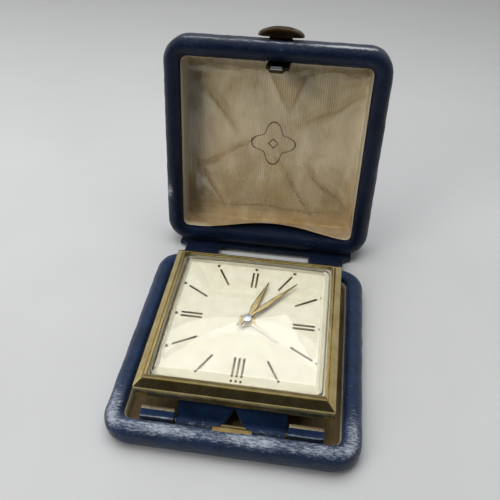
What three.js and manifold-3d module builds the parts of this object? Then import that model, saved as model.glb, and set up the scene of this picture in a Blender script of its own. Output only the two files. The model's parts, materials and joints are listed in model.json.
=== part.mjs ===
// Folding travel alarm clock: a leather tray, a leather lid and a square gilt clock.
// Millimetres. Origin under the middle of the tray, +Z up, +Y towards the lid, +X to the right.
// The clock lies face up in the tray with its 12 towards -Y, and the lid stands open behind it.
import * as THREE from 'three';
import { mergeVertices } from 'three/addons/utils/BufferGeometryUtils.js';
import Module from 'manifold-3d';

const wasm = await Module();
wasm.setup();

// ---------------------------------------------------------------- driving sizes
const CASE_W = 80;            // width of the closed case
const TRAY_D = 81;            // depth of the tray, front to rear
const TRAY_H = 8.2;           // height of the tray rim
const TRAY_FLOOR = 1.5;
const RIM_W = 6.1;            // width of the rolled tray rim
const CASE_R = 9;             // corner radius of tray and lid, seen from above
const LID_W = CASE_W + 2;
const LID_L = TRAY_D + 0.5;
const LID_H = 14;             // depth of the lid shell
const LID_FLOOR = 1.3;
const LID_RIM_W = 6.3;
const LINING_T = 0.4;
const LINING_DROP = 2.3;       // edge of a lining below the top of its rim
const REST_GAP = 0.1;          // between loose pieces that lie on each other
const SEAM_GAP = 0.2;         // between a lining and the wall around it
const TURN_GAP = 0.3;         // between a pin and its bore

const LID_LEAN = 77.5 * Math.PI / 180;        // lid plane above the horizontal, open
const LID_BASE_Y = 51.2;                      // lower rim edge of the open lid
const LID_BASE_Z = 3.0;
const LID_AXIS_Y = TRAY_D / 2 + 2.26;         // lid hinge pin
const LID_AXIS_Z = 2.97;
const LID_PIN_R = 0.7;
const LID_KNUCKLE_R = 1.7;
const EAR_OUT = LID_W / 2 - 9;                // outer half width of the lid hinge ears
const EAR_IN = 18.4;                          // half width of the slot between them

const SIDE_INSET = RIM_W + 3;                 // from the edge of the case to the clock
const REAR_INSET = RIM_W + 1.5;
const FRONT_INSET = RIM_W + 5.5;
const BEZEL_HALF = Math.min(CASE_W - 2 * SIDE_INSET, TRAY_D - REAR_INSET - FRONT_INSET) / 2;
const CLOCK_Y = -TRAY_D / 2 + FRONT_INSET + BEZEL_HALF;    // dial centre
const CLOCK_PIN_R = 0.6;
const CLOCK_KNUCKLE_R = 1.5;
const CLOCK_AXIS_Y = -TRAY_D / 2 + RIM_W + CLOCK_KNUCKLE_R + 0.8;    // clock hinge pin
const CLOCK_AXIS_Z = 5.2;
const STRIP_HALF = 17;                        // half width of the clock hinge strip
const TAB_IN = STRIP_HALF + 0.5;
const TAB_OUT = CASE_W / 2 - RIM_W - 5.4;
const TAB_D = 3.4;
const CLOCK_PIN_HALF = TAB_OUT - 1.2;
const NOTCH_X = 0.8;                          // middle of the notch, the catch and the latch
const NOTCH_HALF = 5.6;
const NOTCH_DEEP = 6.2;
const CATCH_TOP = TRAY_H - 0.3;
const CATCH_T = 0.6;

const BEZEL_Z = 11.4;                         // underside of the bezel wall
const BEZEL_EDGE_Z = 15.5;                    // where the wall meets the bevel
const BEZEL_TOP_Z = 18.1;
const WINDOW_HALF = BEZEL_HALF - 3.7;
const CARRIER_HALF = BEZEL_HALF - 1.3;
const CARRIER_T = 1.8;
const CASE_HALF = BEZEL_HALF - 4.9;           // movement case, outside
const CASE_WALL = 0.7;
const CASE_Z = 4.4;
const DIAL_Z = 15;
const DIAL_T = 0.4;
const CRYSTAL_RISE = 3.8;
const CRYSTAL_T = 0.9;
const HAND_T = 0.25;
const HAND_STEP = HAND_T + TURN_GAP;
const ALARM_HAND_Z = DIAL_Z + 0.4;
const HOUR_HAND_Z = ALARM_HAND_Z + HAND_STEP;
const MINUTE_HAND_Z = HOUR_HAND_Z + HAND_STEP;
const MINUTE_HAND_L = WINDOW_HALF - 3.6;
const HOUR_HAND_L = WINDOW_HALF - 8.6;
const ALARM_HAND_L = WINDOW_HALF - 13.7;

const PLATE_HALF = CASE_HALF - 2.5;           // movement plates
const BACK_PLATE_Z = 5.7;
const FRONT_PLATE_Z = 12.2;
const PLATE_T = 0.9;
const PILLAR_AT = PLATE_HALF - 3;
const ARBOR_R = 0.6;
const COLLET_R = 0.9;

// Arbor places and wheel radii, from the dial centre, for a movement that fills its plates.
const CALIBRE = PLATE_HALF / 23.5;
const arborAt = (x, y, r = 0) => ({ x: x * CALIBRE, y: y * CALIBRE, r: r * CALIBRE });
const CENTRE = arborAt(0, 0, 8.4);
const TIME_BARREL = arborAt(-8.5, 7.2, 9.3);
const ALARM_BARREL = arborAt(-12, -12.4, 7.4);
const THIRD = arborAt(6.5, -7, 6.3);
const FOURTH = arborAt(13.6, -5, 5.4);
const ESCAPE = arborAt(15.6, 1, 3.6);
const PALLET = arborAt(17, 7.6);
const BALANCE = arborAt(11.6, 14, 5.9);
const ALARM_SET = arborAt(-9.2, -3.1, 1.5);
const MINUTE_STEP = arborAt(6, 2.6, 1.3);
const HAMMER = arborAt(4, -17.5);
const STOP = arborAt(0, 20.5);
const HOUR_WHEEL_R = 5 * CALIBRE;
const ALARM_WHEEL_R = 8.2 * CALIBRE;

const HOUR_ANGLE = 197 * Math.PI / 180;       // clockwise from 12, on the dial
const MINUTE_ANGLE = 221 * Math.PI / 180;
const ALARM_ANGLE = 304 * Math.PI / 180;

// ---------------------------------------------------------------- materials
const material = (color, roughness, metalness = 0) =>
  new THREE.MeshStandardMaterial({ color, roughness, metalness });
const LEATHER = material(0x1c2f55, 0.62);
const TRAY_CLOTH = material(0x6b5430, 0.9);
const LID_CLOTH = material(0xb5a88a, 0.9);
const FILM = material(0xd8d2bc, 0.25);
const GILT = material(0xb8964a, 0.32, 1);
const BRASS = material(0xc2a050, 0.4, 1);
const STEEL = material(0x9a9ca0, 0.35, 1);
const BRONZE = material(0x5a3c1c, 0.45, 0.9);
const SILVERED = material(0xe8e5d2, 0.5, 0.2);
const ACRYLIC = material(0xf2f4f2, 0.08);

// ---------------------------------------------------------------- solids
function bufferFrom(positions, indices) {
  const geometry = new THREE.BufferGeometry();
  geometry.setAttribute('position', new THREE.Float32BufferAttribute(positions, 3));
  geometry.setIndex(indices);
  return geometry;
}

function welded(geometry) {
  const bare = geometry.clone();
  bare.deleteAttribute('normal');
  bare.deleteAttribute('uv');
  return mergeVertices(bare, 1e-4);
}

function toManifold(geometry) {
  const bare = welded(geometry);
  return new wasm.Manifold(new wasm.Mesh({
    numProp: 3,
    vertProperties: new Float32Array(bare.attributes.position.array),
    triVerts: new Uint32Array(bare.index.array),
  }));
}

function fromManifold(solid) {
  const mesh = solid.getMesh();
  return bufferFrom(Array.from(mesh.vertProperties), Array.from(mesh.triVerts));
}

function join(first, ...others) {
  return fromManifold(others.reduce((sum, next) => sum.add(toManifold(next)), toManifold(first)));
}

function cut(first, ...others) {
  return fromManifold(others.reduce((rest, next) => rest.subtract(toManifold(next)), toManifold(first)));
}

function box(x0, x1, y0, y1, z0, z1) {
  const geometry = new THREE.BoxGeometry(x1 - x0, y1 - y0, z1 - z0);
  return geometry.translate((x0 + x1) / 2, (y0 + y1) / 2, (z0 + z1) / 2);
}

function rod(radius, z0, z1, sides = 16) {
  const geometry = new THREE.CylinderGeometry(radius, radius, z1 - z0, sides);
  return geometry.rotateX(Math.PI / 2).translate(0, 0, (z0 + z1) / 2);
}

// A rod along X, at a place in the YZ plane.
function axle(radius, x0, x1, y, z, sides = 16) {
  return rod(radius, x0, x1, sides).rotateY(Math.PI / 2).translate(0, y, z);
}

function turned(profile, sides = 24) {
  const points = profile.map(([r, z]) => new THREE.Vector2(r, z));
  return new THREE.LatheGeometry(points, sides).rotateX(Math.PI / 2);
}

function extruded(outline, z0, z1, holes = []) {
  const shape = new THREE.Shape(outline.map(([x, y]) => new THREE.Vector2(x, y)));
  shape.holes = holes.map((hole) => new THREE.Path(hole.map(([x, y]) => new THREE.Vector2(x, y))));
  return new THREE.ExtrudeGeometry(shape, { depth: z1 - z0, bevelEnabled: false }).translate(0, 0, z0);
}

function circle(radius, count, x = 0, y = 0) {
  return Array.from({ length: count }, (_, i) => {
    const angle = 2 * Math.PI * i / count;
    return [x + radius * Math.cos(angle), y + radius * Math.sin(angle)];
  });
}

function square(half) {
  return [[-half, -half], [half, -half], [half, half], [-half, half]];
}

// One loop of a rounded rectangle, moved inwards by inset, corners as arcs.
function roundedLoop(width, depth, radius, inset, steps) {
  const corner = Math.max(radius - inset, 0.3);
  const cx = width / 2 - inset - corner;
  const cy = depth / 2 - inset - corner;
  const loop = [];
  [[1, 1], [-1, 1], [-1, -1], [1, -1]].forEach(([sx, sy], quarter) => {
    for (let i = 0; i <= steps; i += 1) {
      const angle = (quarter + i / steps) * Math.PI / 2;
      loop.push([sx * cx + corner * Math.cos(angle), sy * cy + corner * Math.sin(angle)]);
    }
  });
  return loop;
}

// Rings of a rounded rectangle through the profile's (inset, height) points.
// An open profile is capped flat at both ends, a closed one joins up as a frame.
function lofted({ width, depth, radius, profile, steps = 6, closed = false }) {
  const rings = profile.map(([inset]) => roundedLoop(width, depth, radius, inset, steps));
  const count = rings[0].length;
  const positions = rings.flatMap((ring, i) => ring.flatMap(([x, y]) => [x, y, profile[i][1]]));
  const indices = [];
  const bands = closed ? rings.length : rings.length - 1;
  for (let i = 0; i < bands; i += 1) {
    const lower = i * count;
    const upper = ((i + 1) % rings.length) * count;
    for (let j = 0; j < count; j += 1) {
      const next = (j + 1) % count;
      indices.push(lower + j, lower + next, upper + next, lower + j, upper + next, upper + j);
    }
  }
  if (!closed) {
    const last = (rings.length - 1) * count;
    for (let j = 1; j < count - 1; j += 1) {
      indices.push(0, j + 1, j, last, last + j, last + j + 1);
    }
  }
  return bufferFrom(positions, indices);
}

// Quarter of an ellipse from one profile point to another, bulging outwards.
function quarter(fromPoint, toPoint, centre, steps = 4) {
  return Array.from({ length: steps + 1 }, (_, i) => {
    const angle = (i / steps) * Math.PI / 2;
    const a = Math.cos(angle);
    const b = Math.sin(angle);
    return [0, 1].map((k) => centre[k] + (fromPoint[k] - centre[k]) * a + (toPoint[k] - centre[k]) * b);
  });
}

// A leather shell with a rolled rim: flat under, rounded below, flat side, rolled top, plain inside.
function shellProfile({ height, floor, rim, under, drop, innerDrop }) {
  const crest = rim / 2;
  return [
    ...quarter([under, 0], [0, under], [under, under]),
    ...quarter([0, height - drop], [crest, height], [crest, height - drop]),
    ...quarter([crest, height], [rim, height - innerDrop], [crest, height - innerDrop]).slice(1),
    [rim, floor],
  ];
}

// A thin tub that lines the inside of a shell.
function tub(width, depth, radius, z0, top, wall) {
  const profile = [[0, z0], [0, top], [wall, top], [wall, z0 + wall]];
  return lofted({ width, depth, radius, profile, steps: 4 });
}

// A wheel with pointed teeth, a bore and crossings.
function wheel({ teeth, r, tooth, z0, z1, bore, spokes = 0 }) {
  const outline = [];
  for (let i = 0; i < teeth; i += 1) {
    const angle = 2 * Math.PI * i / teeth;
    const half = Math.PI / teeth;
    outline.push([r * Math.cos(angle), r * Math.sin(angle)]);
    outline.push([(r - tooth) * Math.cos(angle + half), (r - tooth) * Math.sin(angle + half)]);
  }
  const holes = bore ? [circle(bore, 12)] : [];
  const inner = r * 0.3;
  const outer = r - tooth - r * 0.12;
  for (let i = 0; i < spokes; i += 1) {
    const start = 2 * Math.PI * i / spokes + 0.22;
    const end = 2 * Math.PI * (i + 1) / spokes - 0.22;
    const at = (radius, angle) => [radius * Math.cos(angle), radius * Math.sin(angle)];
    const window = [at(inner, start + 0.25), at(inner, end - 0.25)];
    for (let k = 0; k <= 4; k += 1) {
      window.push(at(outer, end + (start - end) * k / 4));
    }
    holes.push(window);
  }
  return extruded(outline, z0, z1, holes);
}

// ---------------------------------------------------------------- placing
const model = new THREE.Group();
model.name = 'folding_travel_alarm_clock';

function add(name, geometry, look) {
  const mesh = new THREE.Mesh(geometry, look);
  mesh.name = name;
  model.add(mesh);
}

function atClock(geometry, place = CENTRE) {
  return geometry.translate(place.x, CLOCK_Y + place.y, 0);
}

// Lid pieces are made flat, rim up and hinge side towards -Y, then stood up in place.
const lidPlacement = new THREE.Matrix4()
  .makeTranslation(0, LID_BASE_Y, LID_BASE_Z)
  .multiply(new THREE.Matrix4().makeRotationX(LID_LEAN))
  .multiply(new THREE.Matrix4().makeTranslation(0, LID_L / 2, -LID_H));

function atLid(geometry) {
  return geometry.applyMatrix4(lidPlacement);
}

// ---------------------------------------------------------------- tray
const trayShell = lofted({
  width: CASE_W,
  depth: TRAY_D,
  radius: CASE_R,
  profile: shellProfile({ height: TRAY_H, floor: TRAY_FLOOR, rim: RIM_W, under: 2.5, drop: 3.3, innerDrop: 1.8 }),
});
const catchY = -TRAY_D / 2 + RIM_W;           // inner face of the front rim
const catchPocket = box(NOTCH_X - 6.3, NOTCH_X + 6.3, catchY - 2.3, catchY + 1, CATCH_TOP - CATCH_T, TRAY_H + 1);
add('tray_shell', cut(trayShell, catchPocket), LEATHER);

const trayInW = CASE_W - 2 * RIM_W - 2 * SEAM_GAP;
const trayInD = TRAY_D - 2 * RIM_W - 2 * SEAM_GAP;
const trayInR = CASE_R - RIM_W - SEAM_GAP;
add('tray_lining', tub(trayInW, trayInD, trayInR, TRAY_FLOOR, TRAY_H - LINING_DROP, LINING_T), TRAY_CLOTH);

// Two blocks inside the front rim carry the ends of the clock hinge pin.
const liningTop = TRAY_FLOOR + LINING_T;
const tabFront = catchY + SEAM_GAP + LINING_T + SEAM_GAP;
function tab(side) {
  const ends = [side * TAB_IN, side * TAB_OUT].sort((a, b) => a - b);
  const block = box(ends[0], ends[1], tabFront, tabFront + TAB_D, liningTop, TRAY_H - 0.4);
  return cut(block, axle(CLOCK_PIN_R + TURN_GAP, -CLOCK_PIN_HALF - TURN_GAP, CLOCK_PIN_HALF + TURN_GAP, CLOCK_AXIS_Y, CLOCK_AXIS_Z));
}
add('tray_tab_left', tab(-1), LEATHER);
add('tray_tab_right', tab(1), LEATHER);

// The brass catch sits in a pocket of the rim and overhangs the notch.
const catchBase = box(NOTCH_X - 6, NOTCH_X + 6, catchY - 2, catchY - 0.1, CATCH_TOP - CATCH_T, CATCH_TOP);
const catchLip = box(NOTCH_X - 6, NOTCH_X + 6, catchY - 0.1, catchY + 0.7, CATCH_TOP - CATCH_T, CATCH_TOP);
add('catch_strip', join(catchBase, catchLip), GILT);

// ---------------------------------------------------------------- lid hinge
const lidPinEnd = EAR_OUT - 0.4;
add('lid_hinge_pin', axle(LID_PIN_R, -lidPinEnd, lidPinEnd, LID_AXIS_Y, LID_AXIS_Z), BRASS);

const trayRear = TRAY_D / 2;
const trayKnuckle = axle(LID_KNUCKLE_R, -EAR_IN + 0.4, EAR_IN - 0.4, LID_AXIS_Y, LID_AXIS_Z, 20);
const trayLeaf = box(-EAR_IN + 0.4, EAR_IN - 0.4, trayRear, LID_AXIS_Y, 2.6, 4.5);
const lidBore = axle(LID_PIN_R + TURN_GAP, -CASE_W / 2, CASE_W / 2, LID_AXIS_Y, LID_AXIS_Z);
add('tray_hinge_leaf', cut(join(trayLeaf, trayKnuckle), lidBore), BRASS);

// The lid's leaf lies under the lower rim and its two ears reach forward to the pin.
const rimZ = LID_H;                            // rim plane, in the lid's own flat frame
const backwards = new THREE.Vector3(0, LID_AXIS_Y, LID_AXIS_Z).applyMatrix4(lidPlacement.clone().invert());
const leafTop = -LID_L / 2 - SEAM_GAP;
const leafT = 1.5;
function lidLeaf() {
  const flare = 3.5;
  const out = EAR_OUT;
  const side = [[out + flare, -4.6], [out + flare, -1]];
  for (let i = 0; i <= 5; i += 1) {
    const angle = (i / 5) * Math.PI / 2;
    side.push([out + flare - flare * Math.sin(angle), -1 + flare - flare * Math.cos(angle) + 0.5]);
  }
  const reach = backwards.z - rimZ;
  const ear = [...side, [out, reach], [EAR_IN, reach], [EAR_IN, 0.6], [EAR_IN - 0.6, 0]];
  const outline = [...ear, ...ear.map(([x, t]) => [-x, t]).reverse()];
  // The outline is drawn across X and forward, then laid under the rim.
  const plate = extruded(outline, 0, leafT).rotateX(Math.PI / 2).translate(0, leafTop, rimZ);
  const knuckles = [-1, 1].map((s) => {
    const ends = [s * EAR_IN, s * EAR_OUT].sort((a, b) => a - b);
    return axle(LID_KNUCKLE_R, ends[0], ends[1], backwards.y, backwards.z, 20);
  });
  const bore = axle(LID_PIN_R + TURN_GAP, -CASE_W / 2, CASE_W / 2, backwards.y, backwards.z);
  return cut(join(plate, ...knuckles), bore);
}
add('lid_hinge_leaf', atLid(lidLeaf()), LEATHER);

// ---------------------------------------------------------------- lid
const lidShell = lofted({
  width: LID_W,
  depth: LID_L,
  radius: CASE_R,
  profile: shellProfile({ height: LID_H, floor: LID_FLOOR, rim: LID_RIM_W, under: 4.5, drop: 3.1, innerDrop: 1.8 }),
});
const lidTop = LID_L / 2;
const stemZ0 = 4.6;
const stemZ1 = 7.2;
const stemHalf = 4;
const stemWay = box(NOTCH_X - stemHalf - TURN_GAP, NOTCH_X + stemHalf + TURN_GAP, lidTop - LID_RIM_W - 1,
  lidTop + 1, stemZ0 - TURN_GAP, stemZ1 + TURN_GAP);
add('lid_shell', atLid(cut(lidShell, stemWay)), LEATHER);

const lidInW = LID_W - 2 * LID_RIM_W - 2 * SEAM_GAP;
const lidInL = LID_L - 2 * LID_RIM_W - 2 * SEAM_GAP;
const lidInR = CASE_R - LID_RIM_W - SEAM_GAP;
const liningWall = lidInL / 2;
const hookWay = box(NOTCH_X - 5, NOTCH_X + 5, liningWall - 1, liningWall + 1, 3.6, LID_H);
const lidLining = tub(lidInW, lidInL, lidInR, LID_FLOOR + SEAM_GAP, LID_H - LINING_DROP, LINING_T);
add('lid_lining', atLid(cut(lidLining, hookWay)), LID_CLOTH);

// A clear sheet lies on the lining floor and stops short of the latch.
const lidFloorTop = LID_FLOOR + SEAM_GAP + LINING_T;
const filmZ = lidFloorTop + REST_GAP;
const filmInset = LINING_T + SEAM_GAP;
const latchTravel = 1;
const hookT = 1.4;
const hookFace = liningWall - LINING_T - hookT - 0.5;      // inner face of the hook arm
const springT = 0.35;
const springBack = hookFace - TURN_GAP - latchTravel - springT;
const latchRoom = liningWall - filmInset - springBack + TURN_GAP;
const film = lofted({
  width: lidInW - 2 * filmInset,
  depth: lidInL - 2 * filmInset - latchRoom,
  radius: lidInR - filmInset,
  profile: [[0, filmZ], [0, filmZ + 0.25]],
  steps: 3,
});
add('lid_film', atLid(film.translate(0, -latchRoom / 2, 0)), FILM);

// ---------------------------------------------------------------- latch
const buttonHalf = 8.3;
const buttonRise = 4.5;
const buttonBase = lidTop + latchTravel + 0.3;
function latchButton() {
  const crown = [];
  for (let i = 0; i <= 8; i += 1) {
    const along = -1 + i / 4;
    crown.push([buttonHalf * along, buttonBase + buttonRise - 1.5 - 1.1 * along * along]);
  }
  const outline = [[buttonHalf - 0.6, buttonBase], ...crown.reverse(), [-buttonHalf + 0.6, buttonBase]];
  const cap = extruded(outline, stemZ0 - 1.8, stemZ1 + 1.8).translate(NOTCH_X, 0, 0);
  const stem = box(NOTCH_X - stemHalf, NOTCH_X + stemHalf, hookFace + hookT, buttonBase + 0.5, stemZ0, stemZ1);
  return join(cap, stem);
}
add('latch_button', atLid(latchButton()), BRONZE);

// The hook arm runs along the inner wall, narrows past the rim and turns outwards under the catch.
const hookTip = LID_H + 4.9;
function latchHook() {
  const half = [[4.2, stemZ0], [4.2, LID_H + 0.4], [3.2, LID_H + 1.6], [2.2, hookTip]];
  const outline = [...half, ...half.map(([x, z]) => [-x, z]).reverse()];
  const arm = extruded(outline, -hookFace - hookT, -hookFace).rotateX(Math.PI / 2).translate(NOTCH_X, 0, 0);
  const barb = box(NOTCH_X - 2, NOTCH_X + 2, hookFace + 1, hookFace + 2.2, hookTip - 0.8, hookTip - 0.02);
  return join(arm, barb);
}
add('latch_hook', atLid(latchHook()), BRONZE);

// A bent leaf spring stands on the lid lining, the latch's travel away from the arm.
function latchSpring() {
  const half = 3;
  const low = lidFloorTop + REST_GAP;
  const foot = box(NOTCH_X - half, NOTCH_X + half, springBack, hookFace + hookT, low, low + springT);
  const blade = box(NOTCH_X - half, NOTCH_X + half, springBack, springBack + springT, low, stemZ1 + 2);
  return join(foot, blade);
}
add('latch_spring', atLid(latchSpring()), STEEL);

// ---------------------------------------------------------------- clock hinge
add('clock_hinge_pin', axle(CLOCK_PIN_R, -CLOCK_PIN_HALF, CLOCK_PIN_HALF, CLOCK_AXIS_Y, CLOCK_AXIS_Z), BRASS);

const carrierZ = BEZEL_Z - CARRIER_T;
const carrierFront = CLOCK_Y - CARRIER_HALF;
function hingeStrip() {
  const section = [
    [CLOCK_AXIS_Y - 0.9, CLOCK_AXIS_Z + 0.4],
    [CLOCK_AXIS_Y + 1.1, CLOCK_AXIS_Z + 0.4],
    [carrierFront - 0.2, carrierZ - 1.3],
    [carrierFront + 2.9, carrierZ - 1.3],
    [carrierFront + 2.9, carrierZ],
    [carrierFront - 0.2, carrierZ],
    [CLOCK_AXIS_Y + 0.3, CLOCK_AXIS_Z + 1.4],
  ];
  const web = extruded(section, -STRIP_HALF, STRIP_HALF);
  web.applyMatrix4(new THREE.Matrix4().makeBasis(
    new THREE.Vector3(0, 1, 0), new THREE.Vector3(0, 0, 1), new THREE.Vector3(1, 0, 0)));
  const knuckle = axle(CLOCK_KNUCKLE_R, -STRIP_HALF, STRIP_HALF, CLOCK_AXIS_Y, CLOCK_AXIS_Z, 20);
  const bore = axle(CLOCK_PIN_R + TURN_GAP, -CASE_W / 2, CASE_W / 2, CLOCK_AXIS_Y, CLOCK_AXIS_Z);
  const front = CLOCK_AXIS_Y - 2;
  const notch = extruded([
    [NOTCH_X - NOTCH_HALF, front],
    [NOTCH_X + NOTCH_HALF, front],
    [NOTCH_X, front + NOTCH_DEEP],
  ], 0, 12);
  return cut(join(web, knuckle), bore, notch);
}
add('clock_hinge_strip', hingeStrip(), LEATHER);

// ---------------------------------------------------------------- clock case
const carrierHole = CASE_HALF + TURN_GAP;
const carrier = extruded(square(CARRIER_HALF), carrierZ, BEZEL_Z, [square(carrierHole)]);
add('carrier_plate', atClock(carrier), LEATHER);

const bevelRun = BEZEL_HALF - WINDOW_HALF - 0.5;
add('bezel', atClock(lofted({
  width: 2 * BEZEL_HALF,
  depth: 2 * BEZEL_HALF,
  radius: 0.5,
  steps: 2,
  closed: true,
  profile: [
    [0, BEZEL_Z],
    [0, BEZEL_EDGE_Z],
    [bevelRun, BEZEL_TOP_Z],
    [bevelRun + 0.5, BEZEL_TOP_Z - 0.3],
    [bevelRun + 0.5, BEZEL_TOP_Z - 1.1],
    [1.2, BEZEL_EDGE_Z - 0.1],
    [1.2, BEZEL_Z],
  ],
})), GILT);

const crystalHalf = WINDOW_HALF - 0.3;
// A pressed square dome with a flange held under the bezel lip.
function crystal() {
  const base = DIAL_Z + 0.1;
  const flange = 1.5;
  const shoulder = 0.8;
  const rows = 7;
  const dome = (inset) => CRYSTAL_RISE * Math.pow(1 - Math.pow(1 - Math.min(inset / crystalHalf, 1), 2.6), 0.75);
  const outside = [];
  const inside = [];
  for (let i = 0; i <= rows; i += 1) {
    const inset = (crystalHalf - 2) * Math.pow(i / rows, 1.7);
    outside.push([inset, base + shoulder + CRYSTAL_T + dome(inset)]);
    inside.push([Math.min(inset + CRYSTAL_T, crystalHalf - 1), base + shoulder + dome(inset)]);
  }
  const shape = { width: 2 * crystalHalf, depth: 2 * crystalHalf, radius: 2, steps: 3 };
  const solid = lofted({ ...shape, profile: [[-flange, base], [-flange, base + shoulder], [0, base + shoulder],
    ...outside] });
  const hollow = lofted({ ...shape, profile: [[CRYSTAL_T, base - 1], ...inside] });
  return cut(solid, hollow);
}
add('crystal', atClock(crystal()), ACRYLIC);

const dialHalf = BEZEL_HALF - 1.6;
const flangeZ = BEZEL_Z + 0.6;
const spacer = extruded(square(dialHalf), flangeZ, DIAL_Z - DIAL_T, [square(CASE_HALF + 0.6)]);
add('dial_spacer', atClock(spacer), STEEL);
add('dial', atClock(extruded(square(dialHalf), DIAL_Z - DIAL_T, DIAL_Z, [circle(2.5, 16)])), SILVERED);

const caseTub = lofted({
  width: 2 * CASE_HALF,
  depth: 2 * CASE_HALF,
  radius: 3,
  steps: 4,
  profile: [[0, CASE_Z + 0.8], [0, BEZEL_Z], [-2.4, BEZEL_Z], [-2.4, flangeZ],
    [CASE_WALL, flangeZ], [CASE_WALL, CASE_Z + 0.8]],
  closed: true,
});
add('movement_case', atClock(caseTub), STEEL);

const KEY_HOLE = 1.6;
const coverHoles = [CENTRE, TIME_BARREL, ALARM_BARREL, ALARM_SET, STOP]
  .map(({ x, y }) => circle(KEY_HOLE, 14, x, y));
add('back_cover', atClock(extruded(square(CASE_HALF - 0.2), CASE_Z, CASE_Z + 0.8, coverHoles)), GILT);

// ---------------------------------------------------------------- movement frame
const trainHoles = [CENTRE, TIME_BARREL, ALARM_BARREL, THIRD, FOURTH, ESCAPE, PALLET, BALANCE,
  ALARM_SET, HAMMER, STOP].map(({ x, y }) => circle(ARBOR_R + TURN_GAP, 10, x, y));
const backPlate = extruded(square(PLATE_HALF), BACK_PLATE_Z, BACK_PLATE_Z + PLATE_T, trainHoles);
add('back_plate', atClock(backPlate), BRASS);
const frontHoles = [CENTRE, TIME_BARREL, ALARM_BARREL, THIRD, FOURTH, ESCAPE, PALLET, BALANCE,
  ALARM_SET, HAMMER].map(({ x, y }) => circle(ARBOR_R + TURN_GAP, 10, x, y));
const frontPlate = extruded(square(PLATE_HALF), FRONT_PLATE_Z, FRONT_PLATE_Z + PLATE_T, frontHoles);
add('front_plate', atClock(frontPlate), BRASS);

const corners = [[-1, -1], [1, -1], [1, 1], [-1, 1]];
corners.forEach(([sx, sy], i) => {
  const place = { x: sx * PILLAR_AT, y: sy * PILLAR_AT };
  const pillar = turned([
    [0, CASE_Z + 0.8], [1.1, CASE_Z + 0.8], [1.1, BACK_PLATE_Z], [0.6, BACK_PLATE_Z], [0, BACK_PLATE_Z],
  ], 12);
  const post = rod(1.4, BACK_PLATE_Z + PLATE_T, FRONT_PLATE_Z, 12);
  add(`pillar_${i + 1}`, atClock(post, place), BRASS);
  add(`case_screw_${i + 1}`, atClock(pillar, place), STEEL);
});

// ---------------------------------------------------------------- going train
const trainLow = BACK_PLATE_Z + 0.1;
const trainHigh = FRONT_PLATE_Z + PLATE_T - 0.1;
function arborWith(place, wheelSpec, pinionSpec, z0 = trainLow, z1 = trainHigh) {
  const pieces = [rod(ARBOR_R, z0, z1, 12), wheel({ ...wheelSpec, bore: 0 })];
  if (pinionSpec) {
    pieces.push(wheel({ ...pinionSpec, bore: 0 }));
  }
  return atClock(join(...pieces), place);
}
const leaf = 0.35;
add('centre_wheel', arborWith(CENTRE,
  { teeth: 48, r: CENTRE.r, tooth: 0.6, z0: 10.9, z1: 11.5, spokes: 4 },
  { teeth: 10, r: 1.5 * CALIBRE, tooth: leaf, z0: 7.4, z1: 10.3 }, CASE_Z - 1.1, MINUTE_HAND_Z), BRASS);
add('third_wheel', arborWith(THIRD,
  { teeth: 40, r: THIRD.r, tooth: 0.5, z0: 9.5, z1: 10, spokes: 4 },
  { teeth: 8, r: CALIBRE, tooth: leaf, z0: 10.7, z1: 11.8 }), BRASS);
add('fourth_wheel', arborWith(FOURTH,
  { teeth: 36, r: FOURTH.r, tooth: 0.45, z0: 8.2, z1: 8.7, spokes: 4 },
  { teeth: 8, r: 0.9 * CALIBRE, tooth: 0.3, z0: 9.2, z1: 10.3 }), BRASS);
add('escape_wheel', arborWith(ESCAPE,
  { teeth: 15, r: ESCAPE.r, tooth: 0.9, z0: 10.6, z1: 11, spokes: 3 },
  { teeth: 7, r: 0.75 * CALIBRE, tooth: 0.25, z0: 7.9, z1: 9 }), STEEL);

function barrel(place) {
  const drum = rod(place.r - 0.9, 7.2, 10.2, 28);
  const teeth = wheel({ teeth: 44, r: place.r, tooth: 0.7, z0: 9.2, z1: 10.2, bore: 0 });
  const arbor = rod(ARBOR_R + 0.2, CASE_Z - 1.1, trainHigh, 12);
  return atClock(join(drum, teeth, cut(arbor, rod(3, trainLow + 0.6, trainHigh - 0.6, 4)),
    rod(ARBOR_R, CASE_Z, trainHigh, 12)), place);
}
add('time_barrel', barrel(TIME_BARREL), BRASS);
add('alarm_barrel', barrel(ALARM_BARREL), BRASS);

// Anchor with two arms towards the escape wheel and a fork towards the balance.
function palletLever() {
  const outline = [
    [-2.6, -1.3], [-2, -1.6], [-0.8, -0.7], [0.8, -0.7], [2, -1.6], [2.6, -1.3],
    [1.2, 0.9], [0.5, 1.2], [0.5, 6.6], [-0.5, 6.6], [-0.5, 1.2], [-1.2, 0.9],
  ];
  const turn = Math.atan2(BALANCE.y - PALLET.y, BALANCE.x - PALLET.x) - Math.PI / 2;
  const anchor = extruded(outline, 10.5, 11.1).scale(CALIBRE, CALIBRE, 1).rotateZ(turn);
  return join(anchor, rod(ARBOR_R - 0.1, trainLow, trainHigh, 12));
}
add('pallet_lever', atClock(palletLever(), PALLET), STEEL);

function balance() {
  const rim = extruded(circle(BALANCE.r, 32), 7.3, 8, [circle(BALANCE.r - 0.9, 32)]);
  const arm = box(-BALANCE.r + 0.4, BALANCE.r - 0.4, -0.6, 0.6, 7.4, 7.9);
  const roller = rod(1.3, 10.5, 11.1, 16);
  const collet = rod(COLLET_R, 8.8, 9.6, 12);
  return join(rim, arm, roller, collet, rod(ARBOR_R - 0.1, trainLow, trainHigh, 12));
}
add('balance_wheel', atClock(balance(), BALANCE), BRASS);

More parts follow.
